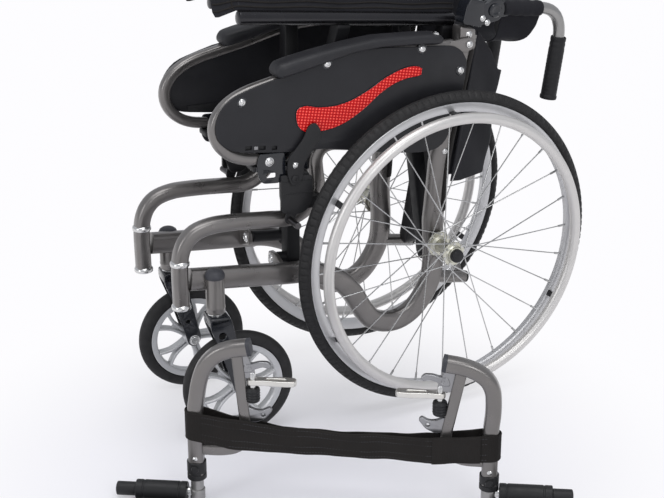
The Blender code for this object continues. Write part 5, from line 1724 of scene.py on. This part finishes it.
# %% Leg supports: hooks and latches
HEAD_SHIFT = {"right": (0, 0, 0), "left": (-13, -10, 0)}
LOW_SHIFT = {"right": (0, 0, 0), "left": (-11, -5, 0)}
LATCH_S, LEVER_Z = 101, 234
LEVER_BAR = [(92, -5), (97, -10), (120, -8), (150, -10), (172, -9), (175, 0), (172, 9), (150, 10),
             (120, 8), (97, 10), (92, 5)]
LEVER_SLOT = soft_corners([(124, -2.6), (156, -2.6), (156, 2.6), (124, 2.6)], 2.4)
knob_ribs = [(12.5 if i % 2 else 11.3, 200 + i * 2.4) for i in range(8)]
KNOB = [(0, 197), (10, 197), (11.6, 198.4), *knob_ribs, (11.6, 220.6), (9.6, 222.6), (0, 223)]
for word, place in leg_places.items():
    head = place @ shift(*HEAD_SHIFT[word])
    mount = plate(MOUNT, 7, head, corner=5, edge=1.2)
    hook = plate(HOOK, 9, head, [circle((97, 258.5), 2.4)], corner=5, edge=2)
    low_hook = plate(LOW_HOOK, 9, place @ shift(*LOW_SHIFT[word]), [circle((118, 173), 3.2)],
                     corner=5, edge=2)
    piece(f"{word}_leg_hooks", joined(mount, hook, low_hook), hook_metal, "leg_set")
    latch_axis = standing(head, LATCH_S)
    pin = turned([(0, 204), (5, 204), (5, 249), (4, 250.6), (0, 251)], latch_axis, 24)
    piece(f"{word}_latch_pin", pin, bolt_steel, "leg_set")
    piece(f"{word}_latch_knob", turned(KNOB, latch_axis, 32), black_plastic, "leg_set")
    lever = plate(LEVER_BAR, 9.5, lying(head, LEVER_Z), [circle((LATCH_S, 0), 5.4), LEVER_SLOT],
                  corner=4, edge=1.6)
    piece(f"{word}_lever_bar", lever, lever_metal, f"{word}_latch", [f"{word}_latch_lever"],
          "lever_steel")
report("hooks and latches")

# %% [markdown]
# The lower tube slides in the collar, so it rides on its own body. At its foot it turns into
# a short arm, the spindle on which the footplate folds. The left one is pushed further up.

# %% Leg supports: lower tubes and foot arms
FOOT_LIFT = {"right": 0, "left": 26}
low_places = {word: place @ shift(0, FOOT_LIFT[word], 0) for word, place in leg_places.items()}
for word, low in low_places.items():
    body = f"{word}_leg_extension"
    top = 152 - FOOT_LIFT[word]
    inner = turned([(0, BARREL_Z), (11, BARREL_Z), (11, 60), (11, top), (0, top)],
                   standing(low, POST_S), 32)
    piece(f"{word}_leg_inner", inner, cane_paint, body, [body], "frame_paint")
    foot = turned([(0, 4), (11, 4), (12.4, 5), (13, 7), (13, 24), (12.4, 25), (11, 25.4), (0, 25.4)],
                  standing(low, POST_S), 32)
    piece(f"{word}_leg_foot", foot, cane_paint, body)
    for name, ends, section, dome in (("spindle", (POST_S, -60, -108), ring_of(8), 0),
                                      ("tip", (-105, -125, -136), ring_of(12, count=32), 3)):
        bar = tube([(s, BARREL_Z) for s in ends], section, low, (0, 1, 0), dome=dome)
        piece(f"{word}_foot_{name}", bar, bolt_steel if name == "spindle" else black_plastic, body)
report("foot arms")

# %% [markdown]
# The footplates are swung down: the right one is level, and the left one, whose tube is pushed
# up, slopes down to the floor. Each is a ribbed plate on a barrel that turns about the foot
# arm. The ribs, which keep a shoe from slipping, are thin tubes partly sunk in the plate.

# %% Leg supports: footplates
FOOT_DROP = {"right": 0.0, "left": radians(9.5)}
TREAD = [(-116, 22), (-104, 16), (-17, 16), (-17, 145), (-27, 160), (-104, 160), (-116, 146)]
RIB_ROWS = range(36, 141, 13)
BARREL = [(8.6, 15), (15.6, 15), (17, 16.4), (17, 26), (16.2, 27), (16.2, 29), (17, 30), (17, 88),
          (16.2, 89), (16.2, 91), (17, 92), (17, 102.6), (15.6, 104), (8.6, 104)]
level = shift(0, BARREL_Z, 0)
for word, low in low_places.items():
    swung = low @ level @ Matrix.Rotation(FOOT_DROP[word], 4, "X") @ level.inverted()
    barrel = turned(BARREL, swung @ level @ Matrix.Rotation(-pi / 2, 4, "Y"), 40, True)
    piece(f"{word}_foot_barrel", barrel, black_plastic, f"{word}_footplate",
          [f"{word}_footplate"], "dark_plastic")
    tread_place = lying(swung, 5.2)
    parts = [plate(TREAD, 9, tread_place, corner=8, edge=2)]
    for at in RIB_ROWS:
        parts.append(tube([(-108, at), (-66, at), (-24, at)], ring_of(2.2, 1.4, 12),
                          tread_place @ shift(0, 0, -4.4), dome=1.5))
    piece(f"{word}_foot_tread", joined(*parts), black_plastic, f"{word}_footplate")
report("footplates")

# %% [markdown]
# The calf strap is a loop of black webbing. Seen from above, its line goes round both posts and
# back. Between them the strap is loose: it sags, its far side hangs lower than its near side,
# and it ripples a little. A second short layer shows where its ends overlap.

# %% Calf strap: its line and surface
far_post = LEG_APART - 2
between_posts = [40, 75, 110, 145, 180, 215, 250, 285, 320, 355, 390, 420, 452]


def loop_round(radius):
    first = [(POST_S + radius * cos(a), radius * sin(a)) for a in np.linspace(pi / 2, 3 * pi / 2, 17)]
    last = [(far_post + radius * cos(a), radius * sin(a)) for a in np.linspace(-pi / 2, pi / 2, 17)]
    front = [(s, -radius) for s in between_posts]
    rear = [(s, radius) for s in between_posts[::-1]]
    return [*first, *front, *last, *rear]


strap_loop = loop_round(16)
strap_ring = [point[:2] for point in smooth_path(strap_loop + strap_loop[:1], 5, 400)][:-1]
strap_place = leg_places["right"]


def strap_point(i, share, out=0.0):
    """A point of this step along the loop, share of the way up, out beyond the strap's middle."""
    s, n = strap_ring[int(i) % len(strap_ring)]
    marks = [0, 60, 150, 250, 400, 499]
    near_top = np.interp(s, marks, [178, 170, 157, 149, 150, 160])
    far_top = np.interp(s, marks, [178, 160, 145, 142, 143, 158])
    top = far_top + (near_top - far_top) * (0.5 + 0.5 * np.clip(n / 8, -1, 1))
    low = np.interp(s, marks, [125, 113, 107, 104, 103, 110])
    slack = np.interp(s, [20, 110, 180, 320, 390, 470], [1, 0.95, 0.6, 0.6, 0.95, 1])
    loose = np.interp(s, [20, 60, 440, 480], [0, 1, 1, 0])
    ripple = loose * (1.1 * sin(s * 0.045 + 0.8) * sin(pi * share) + 0.7 * sin(s * 0.11 + share * 3))
    n = n * slack + np.sign(n) * (ripple + out)
    high = low + (top - low) * share + loose * 0.8 * sin(s * 0.06 + 2 * share)
    return (strap_place @ (Vector((s, high, n)) * MM) - ZERO) / MM


strap_long = sum((Vector(b) - Vector(a)).length
                 for a, b in zip(strap_ring, strap_ring[1:] + strap_ring[:1]))
print("strap loop, mm:", round(strap_long))

# %% [markdown]
# The strap is a ring sheet, so only its upper and lower edges get a hem. Four rows of stitches
# run along it outside, two near each edge.

# %% Calf strap
STRAP_SHARES = [0, 0.02, 0.05, 0.09, 0.13, 0.18, *np.linspace(0.24, 0.76, 10), 0.82, 0.87, 0.91,
                0.95, 0.98, 1]
strap_mesh = grid_sheet(strap_point, range(len(strap_ring)), STRAP_SHARES, 2.4, 6.0, ring=True)
strap = piece("strap", strap_mesh, webbing, "leg_set", ["calf_strap"], "cloth", sharp=60)


def strap_steps(side, low, high):
    """The loop's steps on its near (1) or far (-1) side, between two distances along."""
    return [i for i, (s, n) in enumerate(strap_ring) if side * n > 8 and low < s < high]


rows = []
for side in (1, -1):
    steps = strap_steps(side, 14, far_post - 6)
    for share in (0.1, 0.3, 0.7, 0.9):
        rows.append(stitches([strap_point(i, share, 1.3) for i in steps], TO_VIEWER * side))
strap_rows = piece("strap_stitches", joined(*rows), thread, "leg_set")
lap = strap_steps(1, 400, 482)
lap_mesh = grid_sheet(lambda i, share: strap_point(lap[int(i)], share, 2.6), range(len(lap)),
                      STRAP_SHARES, 2.2, 6.0)
strap_lap = piece("strap_lap", lap_mesh, webbing, "leg_set", sharp=60)
report("calf strap")
